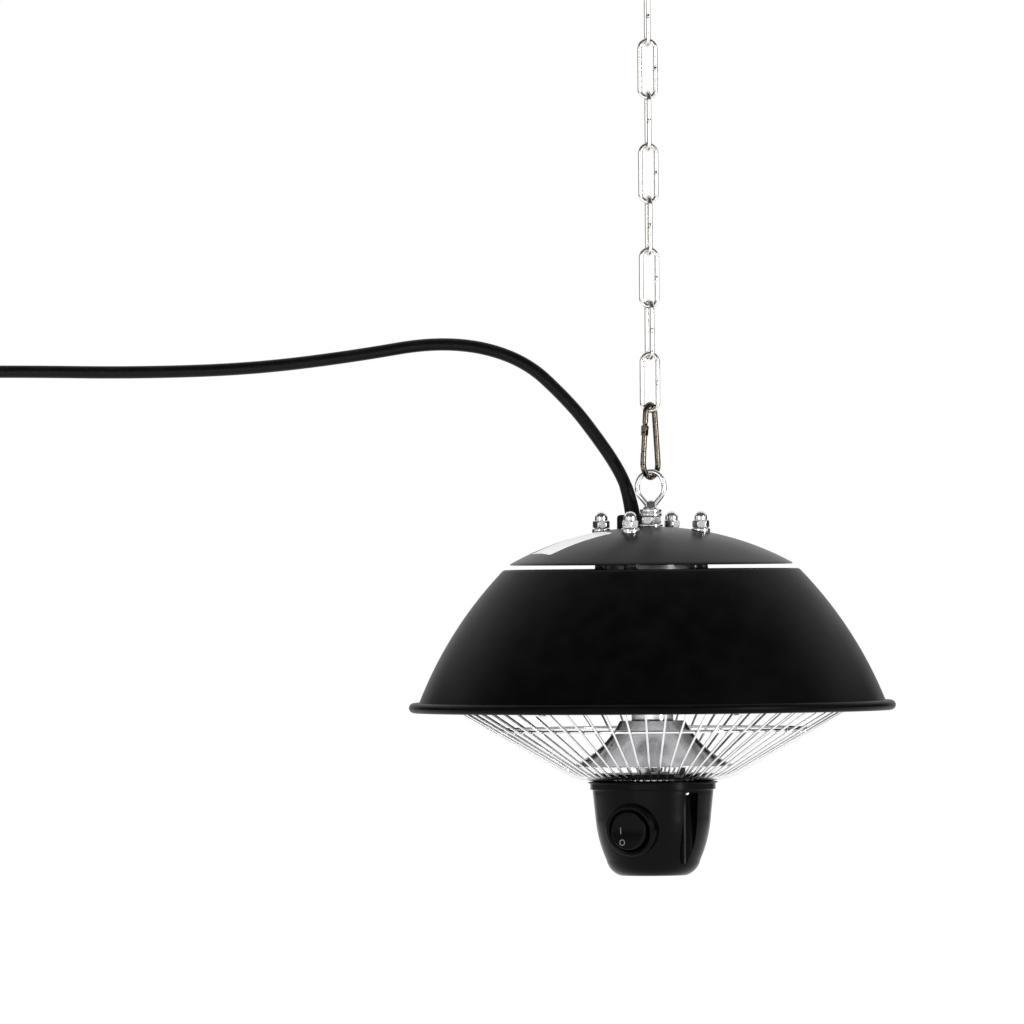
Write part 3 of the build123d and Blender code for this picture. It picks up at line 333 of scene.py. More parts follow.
def divided(points, step):
    """The same outline with more points: none of its pieces is longer than a step."""
    points = np.asarray(points, float)
    along = np.concatenate([[0.0], np.cumsum(np.linalg.norm(np.diff(points, axis=0), axis=1))])
    extra = np.linspace(0.0, along[-1], int(along[-1] / step) + 1)
    where = np.unique(np.concatenate([along, extra]))
    return np.stack([np.interp(where, along, points[:, axis]) for axis in range(points.shape[1])], -1)


def circle(radius, sides=12):
    """A round section, its first point repeated at the end."""
    t = np.linspace(0, 2 * np.pi, sides + 1)
    return np.stack([radius * np.cos(t), radius * np.sin(t)], -1)


def rectangle(left, right, low, high, edge, steps=5):
    """A closed rectangle with rounded corners."""
    return rounded([(left, low), (right, low), (right, high), (left, high)], edge, closed=True, steps=steps)


def bar(width, thickness, edge):
    """A rectangular section with rounded corners, about its middle."""
    return rectangle(-width / 2, width / 2, -thickness / 2, thickness / 2, edge, steps=4)


def unit(vectors):
    """Vectors brought to a length of one."""
    return vectors / np.maximum(np.linalg.norm(vectors, axis=-1, keepdims=True), 1e-12)


def swept(path, section, across=(0.0, 1.0, 0.0), closed=False, scale=None, cap=0.0):
    """A section (a, b) carried along a path = path + a (tangent x across) + b across, with domed ends."""
    path = np.asarray(path, float)
    scale = np.ones(len(path)) if scale is None else np.asarray(scale, float)
    if closed:
        tangent = unit(np.roll(path, -1, 0) - np.roll(path, 1, 0))
        path, tangent = np.vstack([path, path[:1]]), np.vstack([tangent, tangent[:1]])
        scale = np.append(scale, scale[:1])
    else:
        tangent = unit(np.gradient(path, axis=0))
        tilt = np.radians([90.0, 60.0, 30.0]) if cap else np.radians([90.0])
        low = path[0] - tangent[0] * (cap * np.sin(tilt))[:, None]
        high = path[-1] + tangent[-1] * (cap * np.sin(tilt[::-1]))[:, None]
        path = np.vstack([low, path, high])
        first, last = np.repeat(tangent[:1], len(tilt), 0), np.repeat(tangent[-1:], len(tilt), 0)
        tangent = np.vstack([first, tangent, last])
        scale = np.concatenate([scale[0] * np.cos(tilt), scale, scale[-1] * np.cos(tilt[::-1])])
    side = unit(np.cross(tangent, np.asarray(across, float)))
    over = np.cross(side, tangent)
    size = section[None] * scale[:, None, None]
    return path[:, None] + size[..., :1] * side[:, None] + size[..., 1:] * over[:, None]


def ring(radius, height, wire, columns=192, sides=14):
    """A torus about the axis."""
    section = circle(wire, sides) + (radius, height)
    return lathe(section, columns)


def arc(centre, radius, start, end, count):
    """Points of a circle's arc between two angles in degrees."""
    t = np.radians(np.linspace(start, end, count))
    return np.stack([centre[0] + radius * np.cos(t), centre[1] + radius * np.sin(t)], -1)


def upright(points):
    """Plane points (x, z) as points in space, at y = 0."""
    points = np.asarray(points, float)
    return np.stack([points[:, 0], np.zeros(len(points)), points[:, 1]], -1)


def slab(outline, low, high, edge, rings=6):
    """A plate: its outline drawn in towards its middle below and above, with rounded edges."""
    outline = np.asarray(outline, float)
    middle = outline[:-1].mean(0)
    reach = np.linalg.norm(outline - middle, axis=1).mean()
    inset = 1 - edge / reach
    face = np.linspace(0, inset, rings)
    bend = np.radians([30.0, 60.0])
    side = inset + (1 - inset) * np.sin(bend)
    rise = edge * (1 - np.cos(bend))
    scale = np.concatenate([face, side, [1.0, 1.0], side[::-1], face[::-1]])
    height = np.concatenate([
        np.full(rings, low), low + rise, [low + edge, high - edge], high - rise[::-1], np.full(rings, high),
    ])
    flat = middle + (outline - middle)[None] * scale[:, None, None]
    return np.concatenate([flat, np.broadcast_to(height[:, None, None], (*flat.shape[:2], 1))], -1)


def hexagon(angle, flats):
    """Distance from the middle to a hexagon's side in each direction."""
    return flats / 2 / np.cos((angle + np.pi / 6) % (np.pi / 3) - np.pi / 6)


def hex_nut(flats, bore, low, high):
    """Radius = the smaller of the hexagon and a 30 degree chamfer cone from each face."""
    t = np.linspace(0, 2 * np.pi, 73)
    share = np.array([0.0, 0.0, 0.04, 0.08, 0.13, 0.2, 0.8, 0.87, 0.92, 0.96, 1.0, 1.0, 0.0])
    height = low + share * (high - low)
    cone = 0.465 * flats + 1.73 * np.minimum(height - low, high - height)
    radius = np.minimum(hexagon(t, flats)[None], cone[:, None])
    radius[[0, -2, -1]] = bore
    return round_grid(radius, t, height[:, None])


def threaded(radius, depth, pitch, low, high, plain=()):
    """Radius = r - d * |2 frac(z / pitch - t / 2 pi) - 1|, with plain lengths added at the ends."""
    t = np.linspace(0, 2 * np.pi, 25)
    height = np.arange(low, high, pitch / 6)
    groove = np.abs(2 * ((height[:, None] / pitch - t / (2 * np.pi)) % 1) - 1)
    rod = round_grid(radius - depth * groove, t, height[:, None])
    below = lathe([(0, low), (radius - depth, low)], 24)
    above = lathe([(radius - depth, high), (0, high)], 24)
    for start, end in plain:
        if start >= high:
            above = lathe([(radius, start), (radius, end - 0.6), (radius - 0.6, end), (0, end)], 24)
        else:
            below = lathe([(0, start), (radius - 0.6, start), (radius, start + 0.6), (radius, end)], 24)
    return np.concatenate([below, rod, above])


def cross_head(radius, height, recess):
    """Height over the head = a low dome, less a cross-shaped recess of two tapering slots."""
    t = np.linspace(0, 2 * np.pi, 65)
    r = radius * np.array([0, .08, .16, .24, .32, .4, .48, .56, .62, .7, .8, .9, .97, 1.0])[:, None]
    x, y = r * np.sin(t), -r * np.cos(t)
    dome = height * (1 - 0.35 * (r / radius)**2 - 0.25 * (r / radius)**8)
    narrow = np.minimum(np.abs(x), np.abs(y)) < 0.13 * radius
    inside = narrow & (r < 0.58 * radius)
    wall = lathe([(radius, 0.0), (0.0, 0.0)], 64)
    return np.concatenate([round_grid(r, t, dome - recess * inside), wall])


# Finishes

def add_node(tree, kind, settings=(), inputs=()):
    """A shader node with its settings, and each input either linked or given a value."""
    node = tree.nodes.new("ShaderNode" + kind)
    for key, value in dict(settings).items():
        setattr(node, key, value)
    for key, value in dict(inputs).items():
        if isinstance(value, bpy.types.NodeSocket):
            tree.links.new(value, node.inputs[key])
        else:
            node.inputs[key].default_value = value
    return node


def new_group(name, inputs, outputs):
    """An empty shader node group with named sockets."""
    tree = bpy.data.node_groups.new(name, "ShaderNodeTree")
    for label, kind, value in inputs:
        socket = tree.interface.new_socket(label, in_out="INPUT", socket_type=kind)
        socket.default_value = value
    for label, kind in outputs:
        tree.interface.new_socket(label, in_out="OUTPUT", socket_type=kind)
    return tree, tree.nodes.new("NodeGroupInput").outputs, tree.nodes.new("NodeGroupOutput").inputs


def math_node(tree, operation, a, b=0.0):
    """The value of a Math node that takes one or two values or sockets."""
    return add_node(tree, "Math", {"operation": operation}, {0: a, 1: b}).outputs[0]


def patina_group():
    """Cloudy changes of brightness and roughness: value = base * (1 + spread * noise)."""
    tree, given, out = new_group(
        "Patina",
        [("Vector", "NodeSocketVector", (0, 0, 0)), ("Colour", "NodeSocketColor", (1, 1, 1, 1)),
         ("Spread", "NodeSocketFloat", 0.1), ("Scale", "NodeSocketFloat", 40.0),
         ("Roughness", "NodeSocketFloat", 0.4), ("Roughness Spread", "NodeSocketFloat", 0.1)],
        [("Colour", "NodeSocketColor"), ("Roughness", "NodeSocketFloat")])
    cloud = add_node(tree, "TexNoise", (), {
        "Vector": given["Vector"], "Scale": given["Scale"], "Detail": 5.0, "Roughness": 0.62})
    wave = math_node(tree, "MULTIPLY", math_node(tree, "SUBTRACT", cloud.outputs[0], 0.5), 3.0)
    value = math_node(tree, "ADD", math_node(tree, "MULTIPLY", wave, given["Spread"]), 1.0)
    tint = add_node(tree, "HueSaturation", (), {"Value": value, "Color": given["Colour"]})
    rough = math_node(tree, "MULTIPLY", wave, given["Roughness Spread"])
    rough = math_node(tree, "ADD", rough, given["Roughness"])
    tree.links.new(tint.outputs[0], out["Colour"])
    tree.links.new(rough, out["Roughness"])
    return tree


def grain_group():
    """Fine moulded or sprayed grain: two octaves of noise added as a height."""
    tree, given, out = new_group(
        "Grain", [("Vector", "NodeSocketVector", (0, 0, 0)), ("Scale", "NodeSocketFloat", 900.0)],
        [("Height", "NodeSocketFloat")])
    coarse = add_node(tree, "TexNoise", (), {
        "Vector": given["Vector"], "Scale": given["Scale"], "Detail": 2.0})
    fine = add_node(tree, "TexVoronoi", (), {
        "Vector": given["Vector"], "Scale": math_node(tree, "MULTIPLY", given["Scale"], 0.6)})
    height = math_node(tree, "ADD", coarse.outputs[0], math_node(tree, "MULTIPLY", fine.outputs[0], 0.35))
    tree.links.new(height, out["Height"])
    return tree


def spun_marks_group():
    """Marks left by spinning a sheet: noise along the distance from the axis and the height."""
    tree, given, out = new_group(
        "Spun Marks", [("Vector", "NodeSocketVector", (0, 0, 0)), ("Lines", "NodeSocketFloat", 1800.0)],
        [("Height", "NodeSocketFloat"), ("Mask", "NodeSocketFloat")])
    parts = add_node(tree, "SeparateXYZ", (), {0: given["Vector"]})
    square = math_node(tree, "ADD", math_node(tree, "MULTIPLY", parts.outputs[0], parts.outputs[0]),
                       math_node(tree, "MULTIPLY", parts.outputs[1], parts.outputs[1]))
    along = math_node(tree, "ADD", math_node(tree, "SQRT", square), parts.outputs[2])
    place = math_node(tree, "MULTIPLY", along, given["Lines"])
    lines = add_node(tree, "TexNoise", {"noise_dimensions": "1D"}, {"W": place, "Scale": 1.0, "Detail": 3.0})
    bands = add_node(tree, "TexNoise", {"noise_dimensions": "1D"}, {
        "W": math_node(tree, "MULTIPLY", place, 0.04), "Scale": 1.0, "Detail": 2.0})
    tree.links.new(lines.outputs[0], out["Height"])
    tree.links.new(bands.outputs[0], out["Mask"])
    return tree


def dust_group():
    """Dust on faces that look up: mask = upward slope * cloudy noise * amount."""
    tree, given, out = new_group(
        "Settled Dust", [("Vector", "NodeSocketVector", (0, 0, 0)), ("Amount", "NodeSocketFloat", 0.1)],
        [("Mask", "NodeSocketFloat")])
    normal = add_node(tree, "NewGeometry").outputs["Normal"]
    upward = add_node(tree, "SeparateXYZ", (), {0: normal}).outputs[2]
    slope = add_node(tree, "MapRange", (), {"Value": upward, "From Min": 0.15, "From Max": 1.0})
    cloud = add_node(tree, "TexNoise", (), {"Vector": given["Vector"], "Scale": 55.0, "Detail": 6.0})
    patch = add_node(tree, "MapRange", (), {"Value": cloud.outputs[0], "From Min": 0.35, "From Max": 0.7})
    mask = math_node(tree, "MULTIPLY", slope.outputs[0], patch.outputs[0])
    tree.links.new(math_node(tree, "MULTIPLY", mask, given["Amount"]), out["Mask"])
    return tree


def scratch_group():
    """Hairline scratches: thin ridges of a wave bent by noise, kept where a second noise is high."""
    tree, given, out = new_group(
        "Hairlines", [("Vector", "NodeSocketVector", (0, 0, 0)), ("Scale", "NodeSocketFloat", 60.0)],
        [("Mask", "NodeSocketFloat")])
    wave = add_node(tree, "TexWave", {"bands_direction": "DIAGONAL"}, {
        "Vector": given["Vector"], "Scale": given["Scale"], "Distortion": 14.0, "Detail": 2.0})
    line = add_node(tree, "MapRange", (), {"Value": wave.outputs[1], "From Min": 0.97, "From Max": 1.0})
    where = add_node(tree, "TexNoise", (), {"Vector": given["Vector"], "Scale": 90.0, "Detail": 2.0})
    patch = add_node(tree, "MapRange", (), {"Value": where.outputs[0], "From Min": 0.5, "From Max": 0.62})
    tree.links.new(math_node(tree, "MULTIPLY", line.outputs[0], patch.outputs[0]), out["Mask"])
    return tree


def placed_group(tree, make, inputs):
    """A group node in a material, its group built the first time it is asked for."""
    label = {patina_group: "Patina", grain_group: "Grain", spun_marks_group: "Spun Marks",
             dust_group: "Settled Dust", scratch_group: "Hairlines"}[make]
    group = bpy.data.node_groups.get(label) or make()
    node = add_node(tree, "Group", {"node_tree": group}, inputs)
    return node.outputs


def finish(name, colour, roughness, metallic=0.0, specular=0.5, spread=0.1, rough_spread=0.05, patches=40.0,
           grain=900.0, depth=0.00002, dust=0.0, scratches=0.0, spun=0.0, coat=0.0, sheen=0.0):
    """A material: patina on the colour and roughness, dust, hairlines, and grain or spun marks as bump."""
    known = bpy.data.materials.get(name)
    if known:
        return known
    material = bpy.data.materials.new(name)
    material.use_nodes = True
    tree = material.node_tree
    shader = tree.nodes["Principled BSDF"]
    place = add_node(tree, "TexCoord").outputs["Object"]
    patina = placed_group(tree, patina_group, {
        "Vector": place, "Colour": (*colour[:3], 1.0), "Spread": spread, "Scale": patches,
        "Roughness": roughness, "Roughness Spread": rough_spread})
    tint, rough = patina["Colour"], patina["Roughness"]
    if dust:
        mask = placed_group(tree, dust_group, {"Vector": place, "Amount": dust})["Mask"]
        dusty = {0: mask, 6: tint, 7: (0.30, 0.29, 0.27, 1.0)}
        tint = add_node(tree, "Mix", {"data_type": "RGBA"}, dusty).outputs[2]
        rough = math_node(tree, "ADD", rough, math_node(tree, "MULTIPLY", mask, 0.4))
    if scratches:
        mask = placed_group(tree, scratch_group, {"Vector": place, "Scale": 60.0})["Mask"]
        rough = math_node(tree, "ADD", rough, math_node(tree, "MULTIPLY", mask, scratches))
    if spun:
        marks = placed_group(tree, spun_marks_group, {"Vector": place, "Lines": spun})
        height = marks["Height"]
        rough = math_node(tree, "ADD", rough, math_node(tree, "MULTIPLY", marks["Mask"], 0.08))
    else:
        height = placed_group(tree, grain_group, {"Vector": place, "Scale": grain})["Height"]
    bump = add_node(tree, "Bump", (), {"Strength": 0.6, "Distance": depth, "Height": height})
    tree.links.new(tint, shader.inputs["Base Color"])
    tree.links.new(rough, shader.inputs["Roughness"])
    tree.links.new(bump.outputs[0], shader.inputs["Normal"])
    shader.inputs["Metallic"].default_value = metallic
    shader.inputs["Specular IOR Level"].default_value = specular
    shader.inputs["Coat Weight"].default_value = coat
    shader.inputs["Coat Roughness"].default_value = 0.12
    shader.inputs["Sheen Weight"].default_value = sheen
    return material


def chain_steel(colours):
    return finish("Polished chain steel", colours.steel, 0.13, metallic=1.0, spread=0.10, rough_spread=0.05,
                  patches=160.0, grain=1500.0, depth=0.00004, scratches=0.25)


def nickel_plate():
    return finish("Nickel plate", (0.15, 0.13, 0.10), 0.16, metallic=1.0, spread=0.70, rough_spread=0.06,
                  patches=190.0, grain=1300.0, depth=0.00004, scratches=0.2)


def zinc_plate():
    return finish("Bright zinc plate", (0.78, 0.78, 0.79), 0.18, metallic=1.0, spread=0.08, rough_spread=0.06,
                  patches=180.0, grain=1600.0, depth=0.00003, scratches=0.2)


def turned_tube():
    return finish("Bright turned tube", (0.88, 0.88, 0.88), 0.03, metallic=1.0, spread=0.04,
                  rough_spread=0.01, patches=150.0, grain=1500.0, depth=0.000005)


def chrome_wire():
    return finish("Chrome plated wire", (0.80, 0.80, 0.81), 0.12, metallic=1.0, spread=0.06,
                  rough_spread=0.05, patches=120.0, grain=1500.0, depth=0.00002)


def mirror_sheet(colours):
    return finish("Bright spun sheet", colours.mirror, 0.16, metallic=1.0, spread=0.06, rough_spread=0.04,
                  patches=25.0, spun=1600.0, depth=0.00003)


def galvanised_sheet():
    return finish("Galvanised sheet", (0.55, 0.56, 0.57), 0.38, metallic=1.0, spread=0.22, rough_spread=0.10,
                  patches=90.0, grain=500.0, depth=0.00002)


def black_enamel(colours):
    return finish("Satin black enamel", colours.enamel, 0.40, specular=0.06, spread=0.12, rough_spread=0.04,
                  patches=18.0, grain=700.0, depth=0.00004, dust=0.012)


def cap_enamel(colours):
    return finish("Cap enamel", colours.enamel, 0.34, specular=0.13, spread=0.12, rough_spread=0.05,
                  patches=18.0, grain=700.0, depth=0.00005, dust=0.015)


def black_moulding(colours):
    return finish("Black moulding", colours.moulding, 0.24, specular=0.08, spread=0.10, rough_spread=0.05,
                  patches=60.0, grain=2200.0, depth=0.00002, dust=0.01)


def matt_moulding(colours):
    return finish("Matt black moulding", colours.moulding, 0.48, specular=0.15, spread=0.12,
                  rough_spread=0.05, patches=70.0, grain=1500.0, depth=0.00005, dust=0.02)


def rubber_sheath(colours):
    return finish("Rubber sheath", colours.cable, 0.40, specular=0.14, spread=0.15, rough_spread=0.06,
                  patches=45.0, grain=1800.0, depth=0.00004, dust=0.03)


def unglazed_ceramic():
    return finish("Unglazed ceramic", (0.80, 0.78, 0.73), 0.68, spread=0.06, patches=80.0, grain=1400.0,
                  depth=0.00006)


def glass_sleeve():
    return finish("White glass sleeve", (0.93, 0.93, 0.92), 0.60, spread=0.05, patches=120.0, grain=1700.0,
                  depth=0.00010, sheen=0.2)


def dark_sleeve():
    return finish("Dark glass sleeve", (0.045, 0.045, 0.047), 0.55, spread=0.12, patches=120.0, grain=1700.0,
                  depth=0.00010, sheen=0.1)


def tungsten_wire():
    return finish("Tungsten wire", (0.30, 0.29, 0.28), 0.35, metallic=1.0, spread=0.15, patches=200.0,
                  grain=2000.0, depth=0.00001)


def brass_contact():
    return finish("Nickel plated brass", (0.74, 0.66, 0.48), 0.22, metallic=1.0, spread=0.10, patches=150.0,
                  grain=1500.0, depth=0.00002, scratches=0.3)


def label_film(colours):
    return finish("Blank label film", colours.label, 0.34, spread=0.02, patches=60.0, grain=900.0,
                  depth=0.00002)


def switch_mark():
    return finish("Switch mark paint", (0.12, 0.12, 0.12), 0.45, spread=0.03, patches=200.0, grain=1800.0,
                  depth=0.00002)


def clear_quartz():
    """Clear quartz with a faint waviness from drawing the tube."""
    known = bpy.data.materials.get("Clear quartz")
    if known:
        return known
    material = finish("Clear quartz", (0.95, 0.94, 0.92), 0.03, spread=0.02, rough_spread=0.015, patches=60.0,
                      grain=220.0, depth=0.00002)
    shader = material.node_tree.nodes["Principled BSDF"]
    shader.inputs["Transmission Weight"].default_value = 1.0
    shader.inputs["IOR"].default_value = 1.46
    return material


# Shapes

def link_wire(top, turn, radius):
    """A link: two half rings and two legs, with a small weld bead and its seam half way down one leg."""
    w, low = LINK_HALF_WIDTH, LINK_HALF_WIDTH - LINK_REACH
    share = np.array([.12, .3, .42, .47, .485, .495, .5, .505, .515, .53, .58, .7, .88])
    bead = np.array([1, 1, 1, 1.03, 1.10, 1.10, .84, 1.10, 1.10, 1.03, 1, 1, 1])
    upper, under = arc((0, -w), w, 0, 180, 21), arc((0, low), w, 180, 360, 21)
    left = np.stack([np.full(13, -w), -w + share * (low + w)], -1)
    right = np.stack([np.full(13, w), low + share * (-w - low)], -1)
    path = upright(np.vstack([upper, left, under, right]))
    scale = np.concatenate([np.ones(21 + 13 + 21), bead])
    return lifted(turned(swept(path, circle(radius, 14), closed=True, scale=scale), turn), top)


def ceiling_eye():
    """Flange, stem and eye ring, with a wood screw's thread standing up into the ceiling."""
    flange = lathe(rounded([(0, 0), (14, 0), (14, -3), (0, -3)], 0.8), 64)
    stem = lathe(rounded([(0, -2.6), (6.2, -2.6), (3.8, -5.5), (3.6, -15.5), (0, -17)], 1.6), 40)
    eye = lifted(swept(upright(arc((0, 0), 10.0, 0, 360, 65)[:-1]), circle(2.5, 18), closed=True), -27.0)
    t = np.linspace(0, 2 * np.pi, 25)
    height = np.arange(-0.2, 37.9, 0.4)
    core = np.interp(height, [0, 30, 38], [2.3, 2.2, 0.15])
    ridge = np.interp(height, [2, 6, 30, 38], [0, 0.7, 0.7, 0.2])
    thread = np.clip(1 - 3.2 * np.abs(2 * ((height[:, None] / 2.4 - t / (2 * np.pi)) % 1) - 1), 0, 1)
    screw = round_grid(core[:, None] + ridge[:, None] * thread, t, height[:, None])
    tip = lathe([(0.15, 37.9), (0, 38)], 24)
    return [flange, stem, eye, np.concatenate([screw, tip])]


def snap_frame():
    """Heights and corners of the pear-shaped hook, in its own plane."""
    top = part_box("snap_body")[1].z * 1000 - SNAP_WIRE
    high, low = top - SNAP_TOP_BEND, top - SNAP_REACH + SNAP_LOW_BEND
    flare = math.degrees(math.asin((SNAP_LOW_BEND - SNAP_TOP_BEND) / (high - low)))
    f = math.radians(flare)
    left_top = np.array([-SNAP_TOP_BEND * math.cos(f), high + SNAP_TOP_BEND * math.sin(f)])
    left_low = np.array([-SNAP_LOW_BEND * math.cos(f), low + SNAP_LOW_BEND * math.sin(f)])
    line = (left_low - left_top) / np.linalg.norm(left_low - left_top)
    return high, low, flare, left_top, line


def snap_hook_body():
    """The hook's wire from the tongue over the top, down the back and round to the nose, and the tongue."""
    high, low, flare, left_top, line = snap_frame()
    top = arc((0, high), SNAP_TOP_BEND, 180 - flare, flare, 25)
    bottom = arc((0, low), SNAP_LOW_BEND, flare, -180 - flare, 33)
    tongue = left_top + line * np.linspace(9.8, 1.0, 6)[:, None]
    back = top[-1] + (bottom[0] - top[-1]) * np.linspace(0.1, 0.9, 8)[:, None]
    nose = bottom[-1] + (left_top + line * 35.35 - bottom[-1]) * np.linspace(0.2, 1.0, 4)[:, None]
    path = upright(np.vstack([tongue, top, back, bottom, nose]))
    wire = swept(path, circle(SNAP_WIRE, 18), cap=0.5)
    flat = upright(left_top + line * np.linspace(9.0, 17.0, 5)[:, None])
    return [wire, swept(flat, bar(4.8, 2.4, 0.5), cap=0.2)]


def snap_gate_bar():
    """The gate's round bar and the two ears of its fork."""
    left_top, line = snap_frame()[3:]
    middle = upright(left_top + line * np.linspace(18.6, 34.6, 6)[:, None])
    round_bar = swept(middle, circle(2.4, 18), cap=0.4)
    ear = upright(left_top + line * np.linspace(12.2, 20.2, 5)[:, None])
    ears = [swept(ear, bar(4.8, 1.1, 0.3), cap=0.6) + (0.0, side * 1.85, 0.0) for side in (-1, 1)]
    return [round_bar, *ears]


def snap_rivet():
    """The gate's pin with a domed head on each side."""
    left_top, line = snap_frame()[3:]
    x, z = left_top + line * GATE_PIN_DROP
    half = [(0, 3.1), (1.6, 3.1), (1.6, 2.5), (0.9, 2.5)]
    profile = [(radius, -height) for radius, height in half] + half[::-1]
    pin = lathe(rounded(profile, 0.25), 32)
    return np.stack([pin[..., 0] + x, pin[..., 2], pin[..., 1] + z], -1)


def eye_nut_shape():
    """A drop-shaped ring whose legs run together into a waisted neck on a round collar."""
    top = EYE_RING_HEIGHT + EYE_RING_RADIUS
    bend = arc((0, 0), 1.0, -26, 206, 41) * (11.7, 13.8) + (0.0, top - 13.8)
    right = np.linspace((1.6, COLLAR_TOP + 2.0), bend[0], 9)[:-1]
    left = np.linspace(bend[-1], (-1.6, COLLAR_TOP + 2.0), 9)[1:]
    hoop = swept(upright(np.vstack([right, bend, left])), circle(EYE_WIRE, 18))
    waist = [(0, 171), (9.5, 171), (6.4, 173.2), (4.4, 176.5), (3.6, 179.0), (0, 180.5)]
    collar = [(5.0, COLLAR_HEIGHT), (9.5, COLLAR_HEIGHT), (9.5, 168.4), (8.7, 168.9), (9.5, 169.4),
              (9.5, COLLAR_TOP), (5.0, COLLAR_TOP)]
    return [hoop, lathe(rounded(waist, 1.6), 48), lathe(rounded(collar, 0.5, closed=True), 64)]


def dome_height(radius):
    """Height of the cap's face = top - R + sqrt(R^2 - r^2)."""
    return DOME_TOP - DOME_SPHERE + np.sqrt(DOME_SPHERE**2 - np.asarray(radius, float)**2)


def cap_shell():
    """The domed cap with a rounded cut edge, open in the middle for the rod."""
    outer = np.linspace(5.4, DOME_RADIUS - 0.6, 40)
    inner = outer[::-1]
    foot = dome_height(DOME_RADIUS)
    edge = [(DOME_RADIUS, foot - 0.35), (DOME_RADIUS - 0.25, foot - 1.0)]
    face = np.stack([outer, dome_height(outer)], -1)
    under = np.stack([inner - 0.5, dome_height(inner) - SHEET], -1)
    return lathe(np.vstack([face, edge, under, face[:1]]), 160)


def label_patch():
    """A blank label 0.14 mm thick that follows the cap's curve: low face = the cap's face + 0.02 mm."""
    plate = slab(divided(rectangle(-18.5, 23.5, 46, 105, 3.0), 2.0), 0.0, 0.14, 0.04, 16)
    plate = turned(plate * (1.0, -1.0, 1.0), -45.0)
    far = np.hypot(plate[..., 0], plate[..., 1])
    return plate + np.stack([np.zeros_like(far), np.zeros_like(far), dome_height(far) + 0.02], -1)


def acorn_nut():
    """A hexagon with chamfered corners that runs up into a cylinder and a half ball."""
    t = np.linspace(0, 2 * np.pi, 73)
    low = float(dome_height(NUT_SEAT_RADIUS)) + WASHER_THICKNESS
    height = low + np.array([0, 0, 0.3, 0.6, 1.0, 6.0, 6.5, 6.8, 7.0])
    cone = 6.1 + 1.73 * np.minimum(height - low, low + 7.0 - height)
    radius = np.minimum(hexagon(t, 13.0)[None], cone[:, None])
    radius[0] = 0.0
    bend = np.radians(np.linspace(0, 90, 12))
    ball = np.stack([5.6 * np.cos(bend), low + 9.4 + 5.6 * np.sin(bend)], -1)
    base = round_grid(radius, t, height[:, None])
    return np.concatenate([base, lathe(np.vstack([(5.6, low + 7.0), ball]), 72)])


def sealing_washer(turn):
    """A thick washer whose underside follows the cap: bottom height = the cap's face."""
    top = float(dome_height(NUT_SEAT_RADIUS)) + WASHER_THICKNESS
    profile = rectangle(4.0, 8.2, top - 1, top, 0.5)
    washer = turned(lathe(profile, 48) - (0.0, BOLT_CIRCLE, 0.0), turn)
    far = np.hypot(washer[..., 0], washer[..., 1])
    share = np.clip((top - washer[..., 2]) / 1.0, 0, 1)
    washer[..., 2] = washer[..., 2] * (1 - share) + (dome_height(far) - 0.05) * share
    return washer


def shade_profile():
    """The flat top, rounded shoulder, bowed skirt and rolled rim, and the same face set in by the sheet."""
    first, last = np.array(SKIRT_TOP), np.array(SKIRT_FOOT)
    run = np.linalg.norm(last - first)
    radius = ((run / 2)**2 + SKIRT_BULGE**2) / (2 * SKIRT_BULGE)
    across = np.array([first[1] - last[1], last[0] - first[0]]) / run
    centre = (first + last) / 2 + (SKIRT_BULGE - radius) * across
    z = SHADE_HEIGHT - SHOULDER_RADIUS
    x = centre[0] + math.sqrt((radius - SHOULDER_RADIUS)**2 - (z - centre[1])**2)
    meet = math.degrees(math.atan2(z - centre[1], x - centre[0]))
    foot = math.degrees(math.atan2(last[1] - centre[1], last[0] - centre[0]))
    rim = np.array([RIM_RADIUS - BEAD_RADIUS, 0.0])
    faces = []
    for depth in (0.0, SHEET):
        shoulder = arc((x, z), SHOULDER_RADIUS - depth, 90, meet, 9)
        skirt = arc(centre, radius - depth, meet, foot, 60)[1:]
        curve = np.vstack([[(5.4, SHADE_HEIGHT - depth)], shoulder, skirt])
        faces.append(curve[np.linalg.norm(curve - rim, axis=1) > BEAD_RADIUS + 0.15])
    start, end = [math.degrees(math.atan2(*(curve[-1] - rim)[::-1])) for curve in faces]
    end = end - 360 if end > start else end
    bead = arc(rim, BEAD_RADIUS, start - 7, end + 7, 30)
    return np.vstack([faces[0], bead, faces[1][::-1], faces[0][:1]])


def skirt_inside(height):
    """Radius of the skirt's inner face at a height."""
    profile = shade_profile()
    inner = profile[np.argmin(profile[:, 1]):-1]
    inner = inner[(inner[:, 1] > 4) & (inner[:, 0] > 120)]
    order = np.argsort(inner[:, 1])
    return float(np.interp(height, inner[order, 1], inner[order, 0]))


def reflector_profile():
    """A flat middle and a bowed rim, the sheet's edge turned round."""
    under = arc_through((105.0, REFLECTOR_UNDER), (168.0, 50.0), 8.0, 40)
    over = arc_through((105.4, REFLECTOR_TOP), (168.8, 50.0), 8.0, 40)[::-1]
    return np.vstack([[(16.5, REFLECTOR_UNDER)], under, [(168.4, 49.6)], over, [(16.5, REFLECTOR_TOP)],
                      [(16.5, REFLECTOR_UNDER)]])


def arc_through(first, last, bulge, count):
    """Points of the arc from one point to another whose middle stands off the chord by a bulge."""
    first, last = np.array(first, float), np.array(last, float)
    run = np.linalg.norm(last - first)
    radius = ((run / 2)**2 + bulge**2) / (2 * abs(bulge))
    across = np.array([first[1] - last[1], last[0] - first[0]]) / run
    centre = (first + last) / 2 + (bulge - math.copysign(radius, bulge)) * across
    start = math.degrees(math.atan2(*(first - centre)[::-1]))
    end = math.degrees(math.atan2(*(last - centre)[::-1]))
    end += 360 * round((start - end) / 360)
    return arc(centre, radius, start, end, count)


